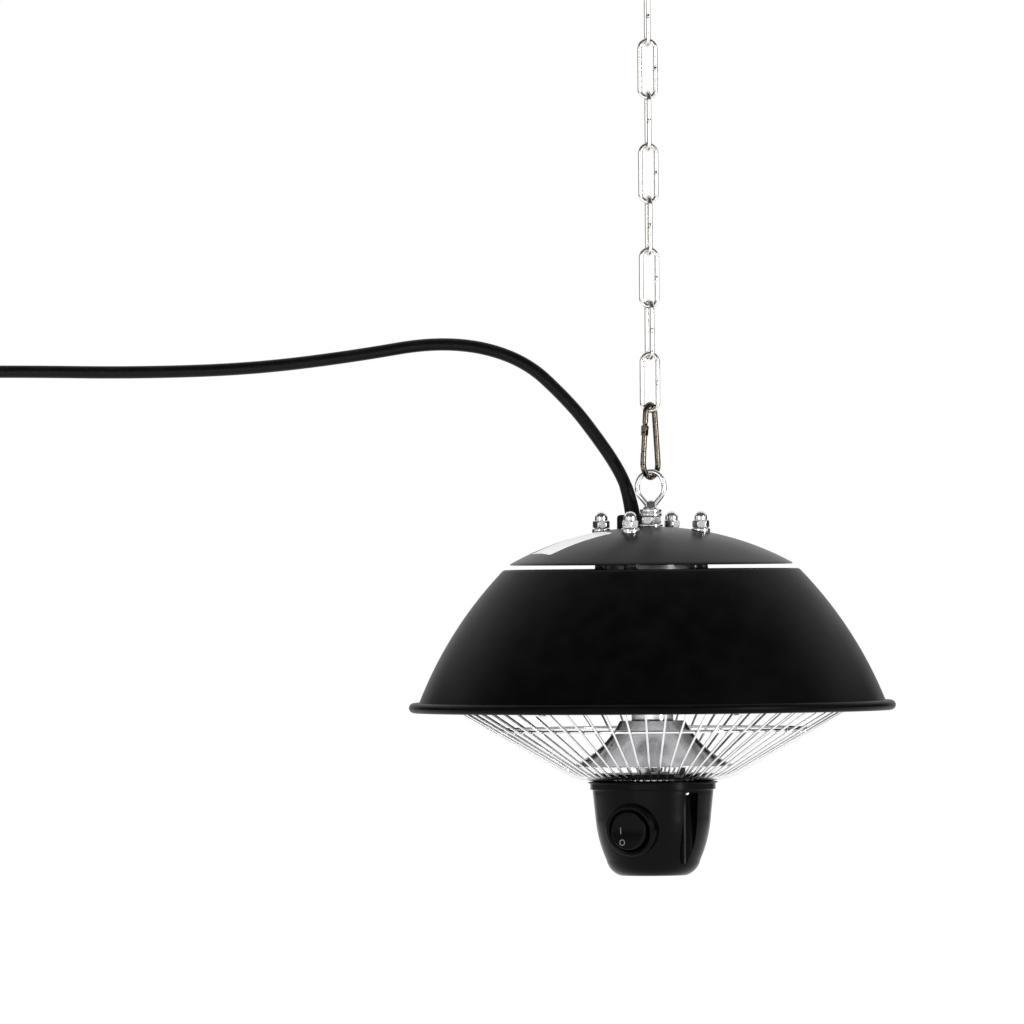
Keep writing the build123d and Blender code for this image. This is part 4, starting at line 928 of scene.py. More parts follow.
def cone_profile():
    """A plate and a bowed flare that opens to a rolled lower edge."""
    outer = arc_through((28.4, CONE_TOP), (70.4, -51.2), -CONE_BOW, 30)
    inner = arc_through((28.0, CONE_TOP - 0.8), (69.7, -51.9), -CONE_BOW, 30)[::-1]
    roll = arc((70.0, -51.7), 0.75, 60, -140, 8)
    plate, under = [(ROD_BORE, CONE_TOP), (27.6, CONE_TOP)], (ROD_BORE, CONE_TOP - 0.8)
    return np.vstack([plate, outer, roll, inner, [under, plate[0]]])


def lamp_arc(start, end, count):
    """Points along the lamp's ring, the angle measured from the back."""
    t = np.radians(90 + np.linspace(start, end, count))
    return np.stack([LAMP_RING * np.cos(t), LAMP_RING * np.sin(t), np.full(count, LAMP_HEIGHT)], -1)


def quartz_ring():
    """Outer and inner walls of the lamp's tube, joined by its two cut ends."""
    path = lamp_arc(22.0, 338.0, 150)
    walls = [swept(path, circle(radius, 18), (0, 0, 1))[1:-1] for radius in (5.5, 4.5)]
    ends = [np.stack([walls[0][row], walls[1][row]]) for row in (0, -1)]
    return [*walls, *ends]


def filament_helix():
    """A helix round the lamp's line: offset = 1.2 (cos w outwards + sin w up), 2.4 mm a turn."""
    count = 2600
    t = np.radians(90 + np.linspace(22.5, 337.5, count))
    w = np.linspace(0, 2 * np.pi * 217, count)
    far = LAMP_RING + 1.2 * np.cos(w)
    path = np.stack([far * np.cos(t), far * np.sin(t), LAMP_HEIGHT + 1.2 * np.sin(w)], -1)
    return swept(path, circle(0.3, 5), (0, 0, 1))


def ceramic_end(start, end):
    """An end cap of the lamp: a stretch of the ring with two raised bands and rounded ends."""
    path = lamp_arc(start, end, 25)
    share = np.linspace(0, 1, 25)
    bands = 0.94 + 0.06 * (np.cos(share * 6 * np.pi) > 0)
    return swept(path, circle(8.0, 28), (0, 0, 1), scale=bands, cap=0.05)


def guard_line():
    """One wire from under the top ring down the slope, bent in to the lowest ring."""
    low = GUARD_BEND[1] - 3.5
    line = rounded([(169.2, GUARD_TOP[1] - 2.3 * GUARD_SLOPE), GUARD_BEND, (50.4, low)], 7.0)
    return upright(line)[:, [1, 0, 2]] * (1.0, -1.0, 1.0)


def weld_spots(radius, height, size, count):
    """Small flattened balls where the wires meet a ring."""
    t = np.radians(np.linspace(-90, 90, 6))
    spot = lathe(np.stack([size * np.cos(t), 0.8 * size * np.sin(t)], -1), 8)
    return around(lifted(spot, height), count, GUARD_TURN, radius)


def clip_strip():
    """A bent strip from under the guard's top ring out to the skirt and up its inside."""
    under = GUARD_TOP[1] - 2.15
    inset = 1.0
    path = rounded([(167.5, under), (177.5, under), (skirt_inside(9.0) - inset, 9.0),
                    (skirt_inside(23.0) - inset, 23.0)], 2.6)
    line = np.stack([np.zeros(len(path)), -path[:, 0], path[:, 1]], -1)
    return swept(line, bar(1.2, 6.0, 0.35), (1, 0, 0), cap=0.3)


def lid_profile():
    """The lid's rim and boss, with a shallow step and rounded edges."""
    step = [(46.0, LID_TOP), (46.6, LID_TOP - 0.5), (48.0, LID_TOP - 0.5), (48.6, LID_TOP)]
    boss = [(52.4, LID_TOP), (52.4, -62.3), (47.2, -62.3), (47.2, -65.6), (ROD_BORE, -65.6)]
    return rounded([(ROD_BORE, LID_TOP), *step, *boss], 0.7, closed=True)


def cup_profiles():
    """The cup's outside above the screw grooves' tops, and below them."""
    flange = [(0.0, CUP_TOP), (56.7, CUP_TOP), (56.7, CUP_TOP - 1.1)]
    collar = [(54.8, CUP_TOP - 1.2), (54.8, -72.3), (52.75, -72.4), (52.6, GROOVE_TOP)]
    upper = rounded(flange + collar, 0.35)
    side = arc_through((50.4, -96.0), (41.0, -134.0), 1.7, 24)
    corner = arc_through((41.0, -134.0), (29.0, CUP_BOTTOM), 2.4, 14)[1:]
    straight = np.linspace((52.6, GROOVE_TOP), (50.4, -96.0), 8)[:-1]
    lower = np.vstack([straight, side, corner, [(20.0, CUP_BOTTOM), (0.0, CUP_BOTTOM)]])
    return upper, lower


def cup_shape():
    """Each level is the outside's arc from one keyhole groove to the next, then round the groove's circle."""
    upper, lower = cup_profiles()
    radius, height = np.vstack([upper, lower]).T
    radius = np.maximum(radius, 1e-7)
    below = np.arange(len(radius)) >= len(upper)
    c, g = GROOVE_CENTRE, GROOVE_RADIUS
    cosine = (radius**2 + c**2 - g**2) / (2 * radius * c)
    cut = below & (cosine < 1)
    top_half = float(np.arccos(cosine[len(upper)]))
    half = np.where(cut, np.arccos(np.clip(cosine, -1, 1)), np.where(below, 0.0, top_half))[:, None]
    reach = radius[:, None]
    psi = np.arctan2(reach * np.sin(half), reach * np.cos(half) - c)
    s = np.linspace(0, 1, 33)[None]
    rows = []
    turns = np.radians(GROOVE_TURNS)
    for start, end in zip(turns, (turns[1], turns[0] + 2 * np.pi)):
        beta = -psi - (2 * np.pi - 2 * psi) * s
        along = np.where(cut[:, None], c + g * np.cos(beta), reach * np.cos(half * (2 * s - 1)))
        aside = np.where(cut[:, None], g * np.sin(beta), reach * np.sin(half * (2 * s - 1)))
        rows.append(np.stack([along * math.sin(start) + aside * math.cos(start),
                              -along * math.cos(start) + aside * math.sin(start)], -1))
        angle = start + half + (end - start - 2 * half) * np.linspace(0, 1, 70)[None, 1:-1]
        rows.append(np.stack([reach * np.sin(angle), -reach * np.cos(angle)], -1))
    rows.append(rows[0][:, :1])
    flat = np.concatenate(rows, 1)
    return np.concatenate([flat, np.broadcast_to(height[:, None, None], (*flat.shape[:2], 1))], -1)


def switch_boss():
    """The round boss that stands out of the cup round the switch."""
    wall = [(20.9, -12.5), (23.6, -12.5), (23.0, 0.0), (20.9, 0.0)]
    return in_switch(lathe(rounded(wall, 0.9, closed=True), 96))


def bezel_shape():
    """A flange with a rounded lip and a barrel that closes behind the rocker."""
    profile = rounded([(0, -12), (20.9, -12), (20.9, 0.0), (22.3, 0.0), (22.3, 1.2), (21.2, 2.0), (18.9, 1.5),
                       (18.4, 0.6), (18.4, -10), (0, -10)], 0.5)
    return in_switch(np.concatenate([lathe(profile, 96), lathe(profile[:1], 96)]))


def rocker_face(y):
    """Height of the rocker's dished face."""
    return 4.5 + 2.0 * (y / 16.4)**2


def in_rocker(points):
    """The rocker's own places, tipped about its pivot, 3 mm behind the switch's face."""
    lean = math.radians(-ROCKER_TILT)
    x, y, z = np.moveaxis(np.asarray(points, float), -1, 0)
    z = z + 3.0
    return in_switch(np.stack([
        x, y * math.cos(lean) - z * math.sin(lean), y * math.sin(lean) + z * math.cos(lean) - 3.0,
    ], -1))


def rocker_shape():
    """Polar grid over the dished face, with a rounded edge and a slightly conical wall."""
    t = np.linspace(0, 2 * np.pi, 97)
    share = np.array([0, .15, .3, .45, .6, .72, .82, .9, .95, .98, 1.0])[:, None]
    drop = np.array([0, 0, 0, 0, 0, 0, 0, .03, .15, .38, .85])[:, None]
    x, y = 16.4 * share * np.sin(t), -16.4 * share * np.cos(t)
    face = np.stack([x, y, rocker_face(y) - drop], -1)
    wall = lathe([(16.9, 0.5), (17.6, -7.0), (0.0, -7.0)], 96)
    return in_rocker(np.concatenate([face, wall]))


def mark_on_rocker(plate):
    """A thin plate laid on the dished face: its height is added to the face's."""
    plate = np.array(plate, float)
    plate[..., 2] += rocker_face(plate[..., 1])
    return in_rocker(plate)


def plug_shape():
    """Radius = the smaller of the round body and two flats, less ribs on the neck and grips on the flats."""
    t = np.linspace(0, 2 * np.pi, 97)
    neck, swell, grip = np.linspace(0.6, 14, 28), np.linspace(14.5, 26, 16), np.linspace(26.5, 44, 44)
    depth = np.concatenate([[0, 0], neck, swell, grip, [44.5, 44.8, 45, 45]])
    outline = np.array([(0, 6.2), (0.6, 6.8), (14, 7.8), (17, 10.6), (21, 15.0), (26, 18.0), (44, 18.0),
                        (44.5, 17.8), (44.8, 17.4), (45, 16.8)])
    round_radius = np.interp(depth, *outline.T)
    ribs = 0.7 * (np.sin(depth * 2 * np.pi / 2.8) > 0.2) * ((depth > 1.5) & (depth < 13))
    flats = 16.5 / np.maximum(np.abs(np.sin(t)), 1e-3)[None]
    grips = 0.7 * (np.sin(depth * 2 * np.pi / 3.0) > 0.3) * ((depth > 28) & (depth < 42))
    flats = flats - grips[:, None] * (np.abs(np.cos(t)) < 0.55)[None]
    radius = np.minimum((round_radius - ribs)[:, None], flats)
    radius[[0, -1]] = 0.0
    return round_grid(radius, t, -depth[:, None]) + PLUG_TOP


def cord_points():
    """The lead's run, the corners of a polygon whose sides touch the coil's turns, and the plug's top."""
    run = np.array([(x, CORD_Y, z) for x, z in CORD_RUN])
    corner = (np.arange(int(COIL_TURNS * COIL_CORNERS)) + 0.5) / COIL_CORNERS
    reach = COIL_RADIUS / math.cos(math.pi / COIL_CORNERS)
    angle = np.pi / 2 + 2 * np.pi * corner
    coil = np.stack([COIL_CENTRE[0] + reach * np.cos(angle), CORD_Y + COIL_PITCH * corner,
                     COIL_CENTRE[1] + reach * np.sin(angle)], -1)
    return np.vstack([run, coil, [PLUG_TOP]])


# Operators

class HEATER_OT_chain(bpy.types.Operator):
    """Adds the ceiling eye and the links of the chain"""

    bl_idname = "heater.chain"
    bl_label = "Chain and Ceiling Eye"

    def execute(self, context):
        steel = chain_steel(context.scene.heater_colours)
        radius = context.scene.heater_sizes.chain_wire * 500
        add_piece("ceiling_eye", ceiling_eye(), "ceiling", steel, ["ceiling_hook"])
        for index in range(1, LINK_COUNT + 1):
            name = f"link_{index}"
            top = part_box(f"chain_link_{index}")[1].z * 1000 - 2.0
            wire = link_wire(top, LINK_TURNS[index - 1], radius)
            add_piece(name, [wire], name, steel, [f"chain_link_{index}"])
        return {"FINISHED"}


class HEATER_OT_snap_hook(bpy.types.Operator):
    """Adds the snap hook, its gate and its pin"""

    bl_idname = "heater.snap_hook"
    bl_label = "Snap Hook"

    def execute(self, context):
        nickel = nickel_plate()
        for name, grids, body, node in (
            ("hook_body", snap_hook_body(), "snap_hook", "snap_body"),
            ("hook_gate", snap_gate_bar(), "gate", "snap_gate"),
            ("hook_pin", [snap_rivet()], "snap_hook", "snap_pin"),
        ):
            add_piece(name, [turned(grid, SNAP_TURN) for grid in grids], body, nickel, [node])
        return {"FINISHED"}


class HEATER_OT_hanging_fittings(bpy.types.Operator):
    """Adds the eye nut, its lock nut and washer, and the threaded rod with its nuts"""

    bl_idname = "heater.hanging_fittings"
    bl_label = "Eye Nut and Threaded Rod"

    def execute(self, context):
        zinc = zinc_plate()
        eye = [lifted(grid) for grid in eye_nut_shape()]
        add_piece("eye_nut_forged", eye, "head", zinc, ["eye_nut"])
        nut = hex_nut(17.0, ROD_RADIUS, LOCK_NUT_LOW, COLLAR_HEIGHT)
        add_head_piece("lock_nut", [nut], zinc, ["eye_lock_nut"])
        washer = lathe(rectangle(ROD_BORE, 10.5, DOME_TOP, LOCK_NUT_LOW, 0.5), 64)
        add_head_piece("lock_washer", [washer], zinc, ["eye_washer"])
        rod = threaded(ROD_RADIUS, THREAD_DEPTH, THREAD_PITCH, ROD_BOTTOM, -12.0, [(-12.0, 170.5)])
        add_head_piece("threaded_rod", [rod], zinc, ["hanging_rod"])
        nuts = [hex_nut(16.0, ROD_RADIUS, low, low + 7.0) for low in (-20.4, -56.9, -74.25)]
        add_head_piece("rod_hex_nuts", nuts, zinc, ["rod_nuts"])
        discs = [lathe(rectangle(ROD_BORE, 13.0, low, low + WASHER_THICKNESS, 0.4), 64)
                 for low in (LID_TOP, -67.25)]
        add_head_piece("rod_flat_washers", discs, zinc, ["rod_washers"])
        return {"FINISHED"}


class HEATER_OT_cap(bpy.types.Operator):
    """Adds the domed cap with its four domed nuts, washers, spacers and the blank label"""

    bl_idname = "heater.cap"
    bl_label = "Cap and Domed Nuts"

    def execute(self, context):
        colours = context.scene.heater_colours
        zinc = zinc_plate()
        add_head_piece("domed_cap", [cap_shell()], cap_enamel(colours), ["top_cap"])
        add_head_piece("blank_label", [label_patch()], label_film(colours))
        nuts = around(acorn_nut(), 4, 0.0, BOLT_CIRCLE)
        add_head_piece("domed_nuts", nuts, zinc, ["acorn_nuts"])
        washers = [sealing_washer(turn) for turn in (0, 90, 180, 270)]
        add_head_piece("sealing_washers", washers, zinc, ["cap_washers"])
        post = lathe(rectangle(4.3, 6.0, SHADE_HEIGHT, 150.0, 0.5), 40)
        posts = around(post, 4, 0.0, BOLT_CIRCLE)
        add_head_piece("spacer_tubes", posts, turned_tube(), ["cap_spacers"])
        paint_nodes(zinc, "cap_studs", "reflector_spacers", "inner_nuts")
        return {"FINISHED"}


class HEATER_OT_cable_clamp(bpy.types.Operator):
    """Adds the cable clamp and its screws, and paints the wiring inside"""

    bl_idname = "heater.cable_clamp"
    bl_label = "Cable Clamp and Wiring Box"

    def execute(self, context):
        colours = context.scene.heater_colours
        outline = rectangle(CLAMP_LEFT, -12.0, 0.2, 13.2, 2.5)
        block = slab(divided(outline, 1.0), 150.0, CLAMP_TOP, 0.7, 16)
        slope = np.clip(CLAMP_EDGE - (block[..., 0] - CLAMP_LEFT), 0, CLAMP_EDGE)
        drop = CLAMP_EDGE - np.sqrt(CLAMP_EDGE**2 - slope**2)
        block[..., 2] = np.minimum(block[..., 2], CLAMP_TOP - drop)
        ribs = [slab(rectangle(x, x + 1.6, -0.3, 13.7, 0.5), 156.0, CLAMP_TOP - 1.2, 0.3)
                for x in (-27.0, -23.5, -15.5)]
        matt = matt_moulding(colours)
        add_head_piece("clamp_block", [block, *ribs], matt, ["cable_clamp"])
        heads = [cross_head(2.4, 1.7, 0.9) + (-29.4, 6.7 + side * 3.2, 163.6) for side in (-1, 1)]
        add_head_piece("clamp_screw_heads", heads, zinc_plate(), ["clamp_screws"], sharp=25)
        paint_nodes(rubber_sheath(colours), "cable_tail")
        paint_nodes(galvanised_sheet(), "terminal_box")
        paint_nodes(unglazed_ceramic(), "terminal_block")
        return {"FINISHED"}


class HEATER_OT_shade(bpy.types.Operator):
    """Adds the enamelled shade with its rolled rim"""

    bl_idname = "heater.shade"
    bl_label = "Shade"

    def execute(self, context):
        enamel = black_enamel(context.scene.heater_colours)
        add_head_piece("enamelled_shade", [lathe(shade_profile(), 256)], enamel, ["shade"])
        return {"FINISHED"}


class HEATER_OT_lamp(bpy.types.Operator):
    """Adds the polished reflector and the ring lamp with its filament, end caps and leads"""

    bl_idname = "heater.lamp"
    bl_label = "Reflector and Ring Lamp"

    def execute(self, context):
        mirror = mirror_sheet(context.scene.heater_colours)
        dish = lathe(reflector_profile(), 192)
        add_head_piece("spun_reflector", [dish], mirror, ["reflector"])
        add_head_piece("quartz_tube", quartz_ring(), clear_quartz(), ["lamp_tube"])
        add_head_piece("filament_coil", [filament_helix()], tungsten_wire(), ["lamp_filament"])
        caps = [ceramic_end(10.0, 21.9), ceramic_end(-21.9, -10.0)]
        add_head_piece("ceramic_caps", caps, unglazed_ceramic(), ["lamp_holders"])
        route = [(0, LAMP_RING, 46.05), (0, LAMP_RING, 113.6), (0, 30.0, 113.6), (0, 30.0, 125.0)]
        lead = swept(rounded(route, 5.0, steps=8), circle(1.6, 12), (1, 0, 0))
        leads = [turned(lead, turn) for turn in (-19.5, 19.5)]
        add_head_piece("lamp_wires", leads, glass_sleeve(), ["lamp_leads"])
        paint_nodes(chrome_wire(), "lamp_hangers")
        return {"FINISHED"}


class HEATER_OT_centre(bpy.types.Operator):
    """Adds the centre column, the flared cone and the two leads that run down to the switch"""

    bl_idname = "heater.centre"
    bl_label = "Column, Cone and Switch Leads"

    def execute(self, context):
        mirror = mirror_sheet(context.scene.heater_colours)
        wall = [(18.5, CONE_TOP), (18.5, REFLECTOR_UNDER), (17.5, REFLECTOR_UNDER), (17.5, CONE_TOP)]
        column = lathe(rounded(wall, 0.3, closed=True), 96)
        add_head_piece("polished_column", [column], mirror, ["centre_column"])
        cone = lathe(cone_profile(), 160)
        add_head_piece("flared_cone", [cone], mirror, ["cone_reflector"])
        white = [(-3.1, -13.7, 125.0), (-3.1, -13.7, -17.8), (*SLEEVE_PLACE, -39.4), (*SLEEVE_PLACE, -79.6),
                 (-7.0, -22.5, -91.6), (-7.0, -22.5, -98.9)]
        black = [(12.5, -2.7, 125.0), (12.5, -2.7, -19.0), (26.6, 2.6, -39.4), (26.6, 2.6, -79.6),
                 (7.0, -22.5, -91.6), (7.0, -22.5, -98.9)]
        sleeve = [(0, -58.4), (3.4, -58.4), (4.1, -55.5), (3.0, -50.5), (2.5, -46.0), (2.9, -44.5),
                  (0, -44.5)]
        vase = lathe(rounded(sleeve, 1.4), 28) + (*SLEEVE_PLACE, 0.0)
        lead = swept(rounded(white, 9.0, steps=8), circle(2.2, 14), (1, 0, 0))
        add_head_piece("white_wire", [lead, vase], glass_sleeve(), ["white_lead"])
        lead = swept(rounded(black, 9.0, steps=8), circle(2.8, 14), (0, 1, 0))
        add_head_piece("dark_wire", [lead], dark_sleeve(), ["black_lead"])
        return {"FINISHED"}


class HEATER_OT_guard(bpy.types.Operator):
    """Adds the guard's wires, rings, weld spots and clips"""

    bl_idname = "heater.guard"
    bl_label = "Wire Guard"

    def execute(self, context):
        sizes, chrome = context.scene.heater_sizes, chrome_wire()
        wire, thick = sizes.guard_wire * 500, sizes.guard_ring_wire * 500
        line = swept(guard_line(), circle(wire, 8), (1, 0, 0), cap=0.3)
        wires = around(line, sizes.guard_count, GUARD_TURN)
        spots = [*weld_spots(169.8, GUARD_TOP[1] - 1.0, 1.35, sizes.guard_count),
                 *weld_spots(GUARD_MIDDLE_RADIUS, GUARD_MIDDLE + 1.2, 1.35, sizes.guard_count),
                 *weld_spots(50.4, -64.3, 1.3, sizes.guard_count)]
        add_head_piece("guard_bars", [*wires, *spots], chrome, ["guard_wires"], sharp=60)
        places = (GUARD_TOP, (GUARD_MIDDLE_RADIUS, GUARD_MIDDLE + 2.93), (49.0, -64.0))
        rings = [ring(radius, height, thick) for radius, height in places]
        add_head_piece("guard_hoops", rings, chrome, ["guard_rings"])
        clips = around(clip_strip(), 6, -11.8)
        add_head_piece("guard_fixing_clips", clips, chrome, ["guard_clips"])
        return {"FINISHED"}


class HEATER_OT_cup(bpy.types.Operator):
    """Adds the switch cup with its keyhole grooves and screws, and the lid"""

    bl_idname = "heater.cup"
    bl_label = "Switch Cup and Lid"

    def execute(self, context):
        plastic = black_moulding(context.scene.heater_colours)
        add_head_piece("moulded_lid", [lathe(lid_profile(), 128)], plastic, ["cup_lid"])
        add_head_piece("moulded_cup", [cup_shape(), switch_boss()], plastic, ["switch_cup"])
        head = cross_head(3.6, 2.6, 1.4) * (1.0, 1.0, -1.0)
        heads = [lifted(turned(head - (0.0, 44.0, 0.0), turn), GROOVE_TOP) for turn in GROOVE_TURNS]
        add_head_piece("cup_screw_heads", heads, zinc_plate(), ["cup_screws"], sharp=25)
        return {"FINISHED"}


class HEATER_OT_switch(bpy.types.Operator):
    """Adds the round rocker switch with its two marks"""

    bl_idname = "heater.switch"
    bl_label = "Rocker Switch"

    def execute(self, context):
        colours = context.scene.heater_colours
        plastic, paint = black_moulding(colours), switch_mark()
        add_head_piece("round_bezel", [bezel_shape()], plastic, ["switch_bezel"])
        add_piece("dished_rocker", [on_head(rocker_shape())], "rocker", plastic, ["rocker"])
        line = slab(rectangle(-0.4, 0.4, -2.9, 2.9, 0.2), 0.05, 0.2, 0.05)
        hoop = lathe([(1.8, 0.05), (2.5, 0.05), (2.5, 0.2), (1.8, 0.2), (1.8, 0.05)], 40) * (1.0, 1.1, 1.0)
        marks = [mark_on_rocker(line + (*MARK_I, 0.0)), mark_on_rocker(hoop + (*MARK_O, 0.0))]
        add_piece("rocker_marks", [on_head(grid) for grid in marks], "rocker", paint)
        paint_nodes(plastic, "switch_body")
        paint_nodes(brass_contact(), "switch_blades")
        return {"FINISHED"}


class HEATER_OT_mains_lead(bpy.types.Operator):
    """Adds the mains lead with its strain relief, coil, tie and plug"""

    bl_idname = "heater.mains_lead"
    bl_label = "Mains Lead"

    def execute(self, context):
        colours, size = context.scene.heater_colours, context.scene.heater_sizes.cord
        rubber, brass = rubber_sheath(colours), brass_contact()
        body = add_piece("plug_moulding", [plug_shape()], "head", rubber, ["plug_body"])
        low = -PLUG_LENGTH
        pin = [(0, low + 1), (2.4, low + 1), (2.4, low - 17.6), (1.5, low - 19), (0, low - 19)]
        pin = lathe(rounded(pin, 0.8), 28)
        pins = [pin + (0.0, side * PIN_REACH, 0.0) + np.array(PLUG_TOP) for side in (-1, 1)]
        pins = add_piece("plug_round_pins", pins, "head", brass, ["plug_pins"])
        plate = slab(rectangle(-0.5, 0.5, -2.0, 2.0, 0.3), low, low + 17.0, 0.3)
        strips = [plate + (side * EARTH_REACH, 0.0, 0.0) + np.array(PLUG_TOP) for side in (-1, 1)]
        strips = add_piece("plug_earth_strips", strips, "head", brass, ["plug_earth"])
        tie = self.tie(colours)
        points = cord_points() / 1000
        curve = bpy.data.curves.new("mains_cable", "CURVE")
        curve.dimensions = "3D"
        curve.bevel_depth = size / 2
        curve.bevel_resolution = 6
        curve.resolution_u = 10
        curve.use_fill_caps = True
        spline = curve.splines.new("NURBS")
        spline.points.add(len(points) - 1)
        spline.points.foreach_set("co", np.c_[points, np.ones(len(points))].ravel())
        spline.order_u = 3
        spline.use_endpoint_u = True
        curve.materials.append(rubber)
        cable = bpy.data.objects.new("mains_cable", curve)
        context.scene.collection.objects.link(cable)
        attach(cable, "head")
        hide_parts("mains_lead", "lead_coil")
        first, second, third = cord_points()[:3]
        t = np.linspace(-0.03, 0.82, 26)[:, None]
        line = (1 - t)**2 * first + 2 * t * (1 - t) * second + t**2 * (second + third) / 2
        relief = swept(line, circle(size * 500, 24), (0, 1, 0), scale=np.linspace(1.22, 1.03, 26), cap=0.3)
        relief = add_piece("strain_relief", [relief], "head", rubber)
        return {"FINISHED"}

    def tie(self, colours):
        """The coil's tie: a strap round the lowest turns, with a square head."""
        half, reach = 6.45, 11.9
        y, z = arc((reach, 0), half, -90, 90, 17).T
        loop = np.vstack([np.stack([y, z], -1), np.stack([-y[::-1], z[::-1]], -1)])
        path = np.stack([np.zeros(len(loop)), loop[:, 0], loop[:, 1]], -1)
        middle = np.array([COIL_CENTRE[0], CORD_Y + 1.5 * COIL_PITCH, COIL_CENTRE[1] - COIL_RADIUS])
        strap = swept(path, bar(1.3, 7.6, 0.4), (1, 0, 0), closed=True) + middle
        head = slab(rectangle(-4.6, 4.6, -4.0, 4.0, 0.8), -7.6, -3.0, 0.6) + middle - (0.0, 0.0, 1.2)
        matt = matt_moulding(colours)
        return add_piece("coil_strap", [strap, head], "head", matt, ["coil_tie"])


class HEATER_OT_stage(bpy.types.Operator):
    """Adds the floor, the lights, the white background and the camera"""

    bl_idname = "heater.stage"
    bl_label = "Stage, Lights and Camera"

    def execute(self, context):
        scene = context.scene
        scene.view_settings.view_transform = "Standard"
        self.background(scene)
        self.floor(scene)
        for name, place, size, power, mirrored in LIGHTS:
            self.light(scene, name, place, size, power, mirrored)
        self.surround(scene)
        self.camera(scene)
        return {"FINISHED"}

    def background(self, scene):
        """A white world: full strength where it is seen, and weaker as light on the object."""
        world = bpy.data.worlds.new("White surroundings")
        world.use_nodes = True
        scene.world = world
        tree = world.node_tree
        path = add_node(tree, "LightPath").outputs
        seen = math_node(tree, "MAXIMUM", path["Is Camera Ray"],
                         math_node(tree, "MAXIMUM", path["Is Glossy Ray"], path["Is Transmission Ray"]))
        extra = math_node(tree, "MULTIPLY", seen, 1.0 - WORLD_LIGHT)
        strength = math_node(tree, "ADD", extra, WORLD_LIGHT)
        shade = tree.nodes["Background"]
        shade.inputs["Color"].default_value = (1.0, 1.0, 1.0, 1.0)
        tree.links.new(strength, shade.inputs["Strength"])

    def floor(self, scene):
        """A pale disc, clear from below. Away from the shadow the camera and mirror images see it white."""
        disc = lifted(lathe([(0.0, 0.0), (FLOOR_RADIUS, 0.0)], 64), FLOOR_HEIGHT)
        material = bpy.data.materials.new("Pale floor")
        material.use_nodes = True
        tree = material.node_tree
        shader = tree.nodes["Principled BSDF"]
        place = add_node(tree, "TexCoord").outputs["Object"]
        patina = placed_group(tree, patina_group, {
            "Vector": place, "Colour": (0.86, 0.86, 0.86, 1.0), "Spread": 0.01, "Scale": 3.0,
            "Roughness": 0.7, "Roughness Spread": 0.05})
        tree.links.new(patina["Colour"], shader.inputs["Base Color"])
        tree.links.new(patina["Roughness"], shader.inputs["Roughness"])
        path = add_node(tree, "LightPath").outputs
        seen = math_node(tree, "MAXIMUM", path["Is Camera Ray"], path["Is Glossy Ray"])
        strength = math_node(tree, "MULTIPLY", seen, FLOOR_GLOW)
        glow = add_node(tree, "Emission", (), {"Color": (1, 1, 1, 1), "Strength": strength})
        both = add_node(tree, "AddShader", (), {0: shader.outputs[0], 1: glow.outputs[0]})
        clear = add_node(tree, "BsdfTransparent")
        behind = add_node(tree, "NewGeometry").outputs["Backfacing"]
        mixed = add_node(tree, "MixShader", (), {0: behind, 1: both.outputs[0], 2: clear.outputs[0]})
        tree.links.new(mixed.outputs[0], tree.nodes["Material Output"].inputs["Surface"])
        mesh = surface_mesh("floor", [disc])
        mesh.materials.append(material)
        if mesh.polygons[0].normal.z < 0:
            mesh.flip_normals()
        floor = bpy.data.objects.new("floor", mesh)
        scene.collection.objects.link(floor)

    def light(self, scene, name, place, size, power, mirrored):
        """A light aimed at the heater: soft and without a mirror image, or seen only as its mirror image."""
        lamp = bpy.data.lights.new(name, "AREA")
        lamp.shape = "RECTANGLE"
        lamp.size, lamp.size_y = size
        lamp.energy = power
        holder = bpy.data.objects.new(name, lamp)
        holder.location = place
        holder.rotation_euler = (Vector(place) - Vector(LIGHT_TARGET)).to_track_quat("Z", "Y").to_euler()
        holder.visible_camera = False
        holder.visible_glossy = mirrored
        holder.visible_diffuse = not mirrored
        scene.collection.objects.link(holder)

    def surround(self, scene):
        """The studio's dark cloths, which only mirror images show, open to the white between them."""
        low, middle, high, top = CLOTH_HEIGHTS
        far = CLOTH_RADIUS
        dark = finish("Black cloth", (0.04, 0.04, 0.04), 0.9, specular=0.0, grain=200.0)
        grey = finish("Grey cloth", (0.13, 0.13, 0.13), 0.9, specular=0.0, grain=200.0)
        self.cloth(scene, "low_cloth", dark, -150, 150, [(far, low), (far, middle)])
        self.cloth(scene, "left_cloth", dark, -150, -96, [(far, middle), (far, high)])
        self.cloth(scene, "right_cloth", dark, 96, 150, [(far, middle), (far, high)])
        self.cloth(scene, "high_cloth", grey, -105, 105, [(far, high), (far, top), (1, top)])

    def cloth(self, scene, name, material, start, end, profile):
        """Part of a round wall about the Z axis: profile of radius and height, from start to end degrees."""
        radius, height = divided(profile, 300.0).T[..., None]
        wall = round_grid(radius, np.radians(np.linspace(start, end, 43)), height)
        mesh = surface_mesh(name, [wall])
        mesh.materials.append(material)
        piece = bpy.data.objects.new(name, mesh)
        for kind in ("camera", "diffuse", "shadow", "transmission", "volume_scatter"):
            setattr(piece, f"visible_{kind}", False)
        scene.collection.objects.link(piece)

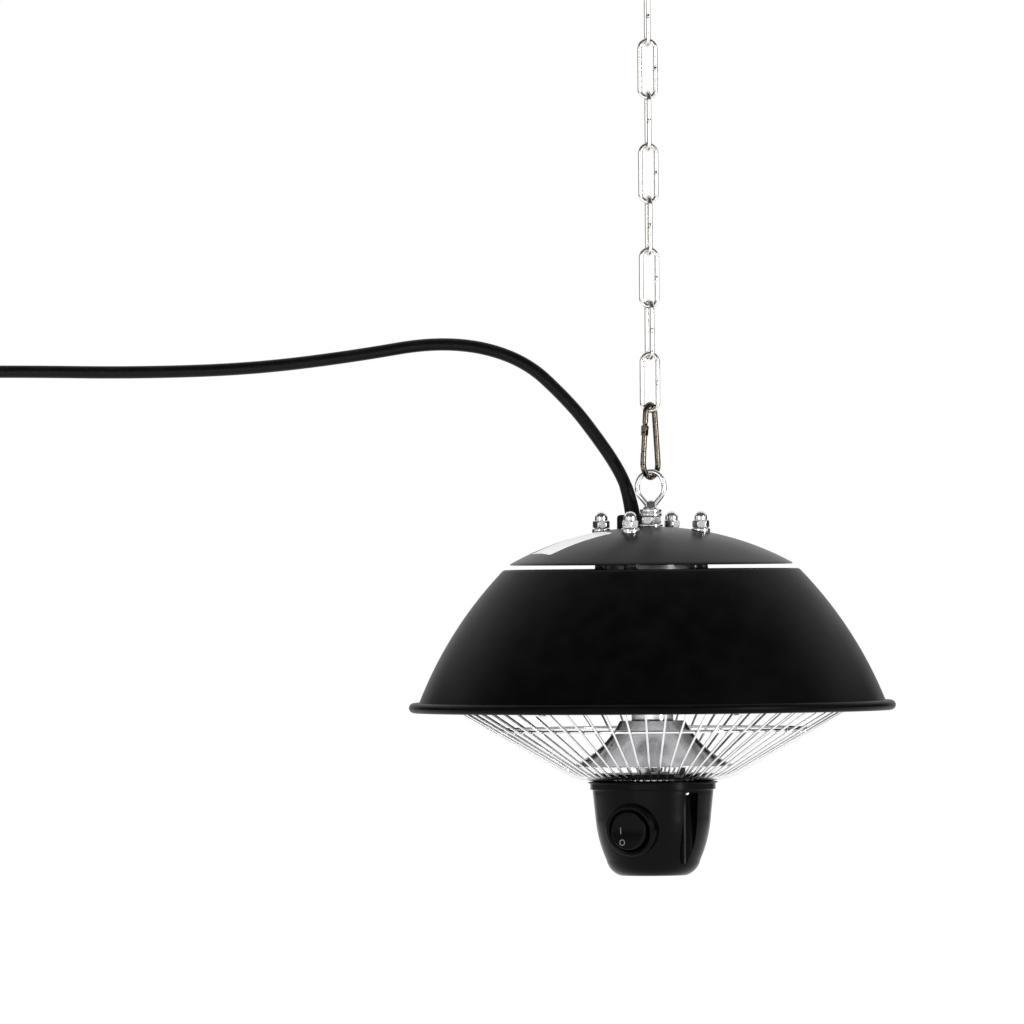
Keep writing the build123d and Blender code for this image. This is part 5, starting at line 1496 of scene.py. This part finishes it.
    def camera(self, scene):
        """A long lens far away, level with the chain's foot, that frames the shade as photographed."""
        lens = bpy.data.cameras.new("photo_camera")
        lens.lens, lens.sensor_width = CAMERA_LENS, 36.0
        lens.clip_start, lens.clip_end = 0.5, 60.0
        lift = math.radians(CAMERA_LIFT)
        back = Vector((0.0, -math.cos(lift), math.sin(lift)))
        right = Vector((1.0, 0.0, -CAMERA_ROLL))
        right = (right - back * right.dot(back)).normalized()
        up = back.cross(right)
        holder = bpy.data.objects.new("photo_camera", lens)
        place = Vector(CAMERA_TARGET) + back * CAMERA_DISTANCE
        turn = Matrix((right, up, back)).transposed().to_4x4()
        holder.matrix_world = Matrix.Translation(place) @ turn
        scene.collection.objects.link(holder)
        scene.camera = holder


class HEATER_PT_panel(bpy.types.Panel):
    """Sizes, colours and the steps that build the heater"""

    bl_idname = "HEATER_PT_panel"
    bl_label = "Hanging Heater"
    bl_space_type = "VIEW_3D"
    bl_region_type = "UI"
    bl_category = "Heater"

    def draw(self, context):
        for group in (context.scene.heater_sizes, context.scene.heater_colours):
            for name in group.__annotations__:
                self.layout.prop(group, name)
        for operator in OPERATORS:
            self.layout.operator(operator.bl_idname)


OPERATORS = (
    HEATER_OT_chain, HEATER_OT_snap_hook, HEATER_OT_hanging_fittings, HEATER_OT_cap, HEATER_OT_cable_clamp,
    HEATER_OT_shade, HEATER_OT_lamp, HEATER_OT_centre, HEATER_OT_guard, HEATER_OT_cup, HEATER_OT_switch,
    HEATER_OT_mains_lead, HEATER_OT_stage,
)
CLASSES = (HeaterSizes, HeaterColours, *OPERATORS, HEATER_PT_panel)


def register():
    for item in CLASSES:
        bpy.utils.register_class(item)
    bpy.types.Scene.heater_sizes = PointerProperty(type=HeaterSizes)
    bpy.types.Scene.heater_colours = PointerProperty(type=HeaterColours)


def unregister():
    del bpy.types.Scene.heater_sizes
    del bpy.types.Scene.heater_colours
    for item in reversed(CLASSES):
        bpy.utils.unregister_class(item)


def main():
    register()
    for step in (
        bpy.ops.heater.chain, bpy.ops.heater.snap_hook, bpy.ops.heater.hanging_fittings, bpy.ops.heater.cap,
        bpy.ops.heater.cable_clamp, bpy.ops.heater.shade, bpy.ops.heater.lamp, bpy.ops.heater.centre,
        bpy.ops.heater.guard, bpy.ops.heater.cup, bpy.ops.heater.switch, bpy.ops.heater.mains_lead,
        bpy.ops.heater.stage,
    ):
        step()


if __name__ == "__main__":
    main()
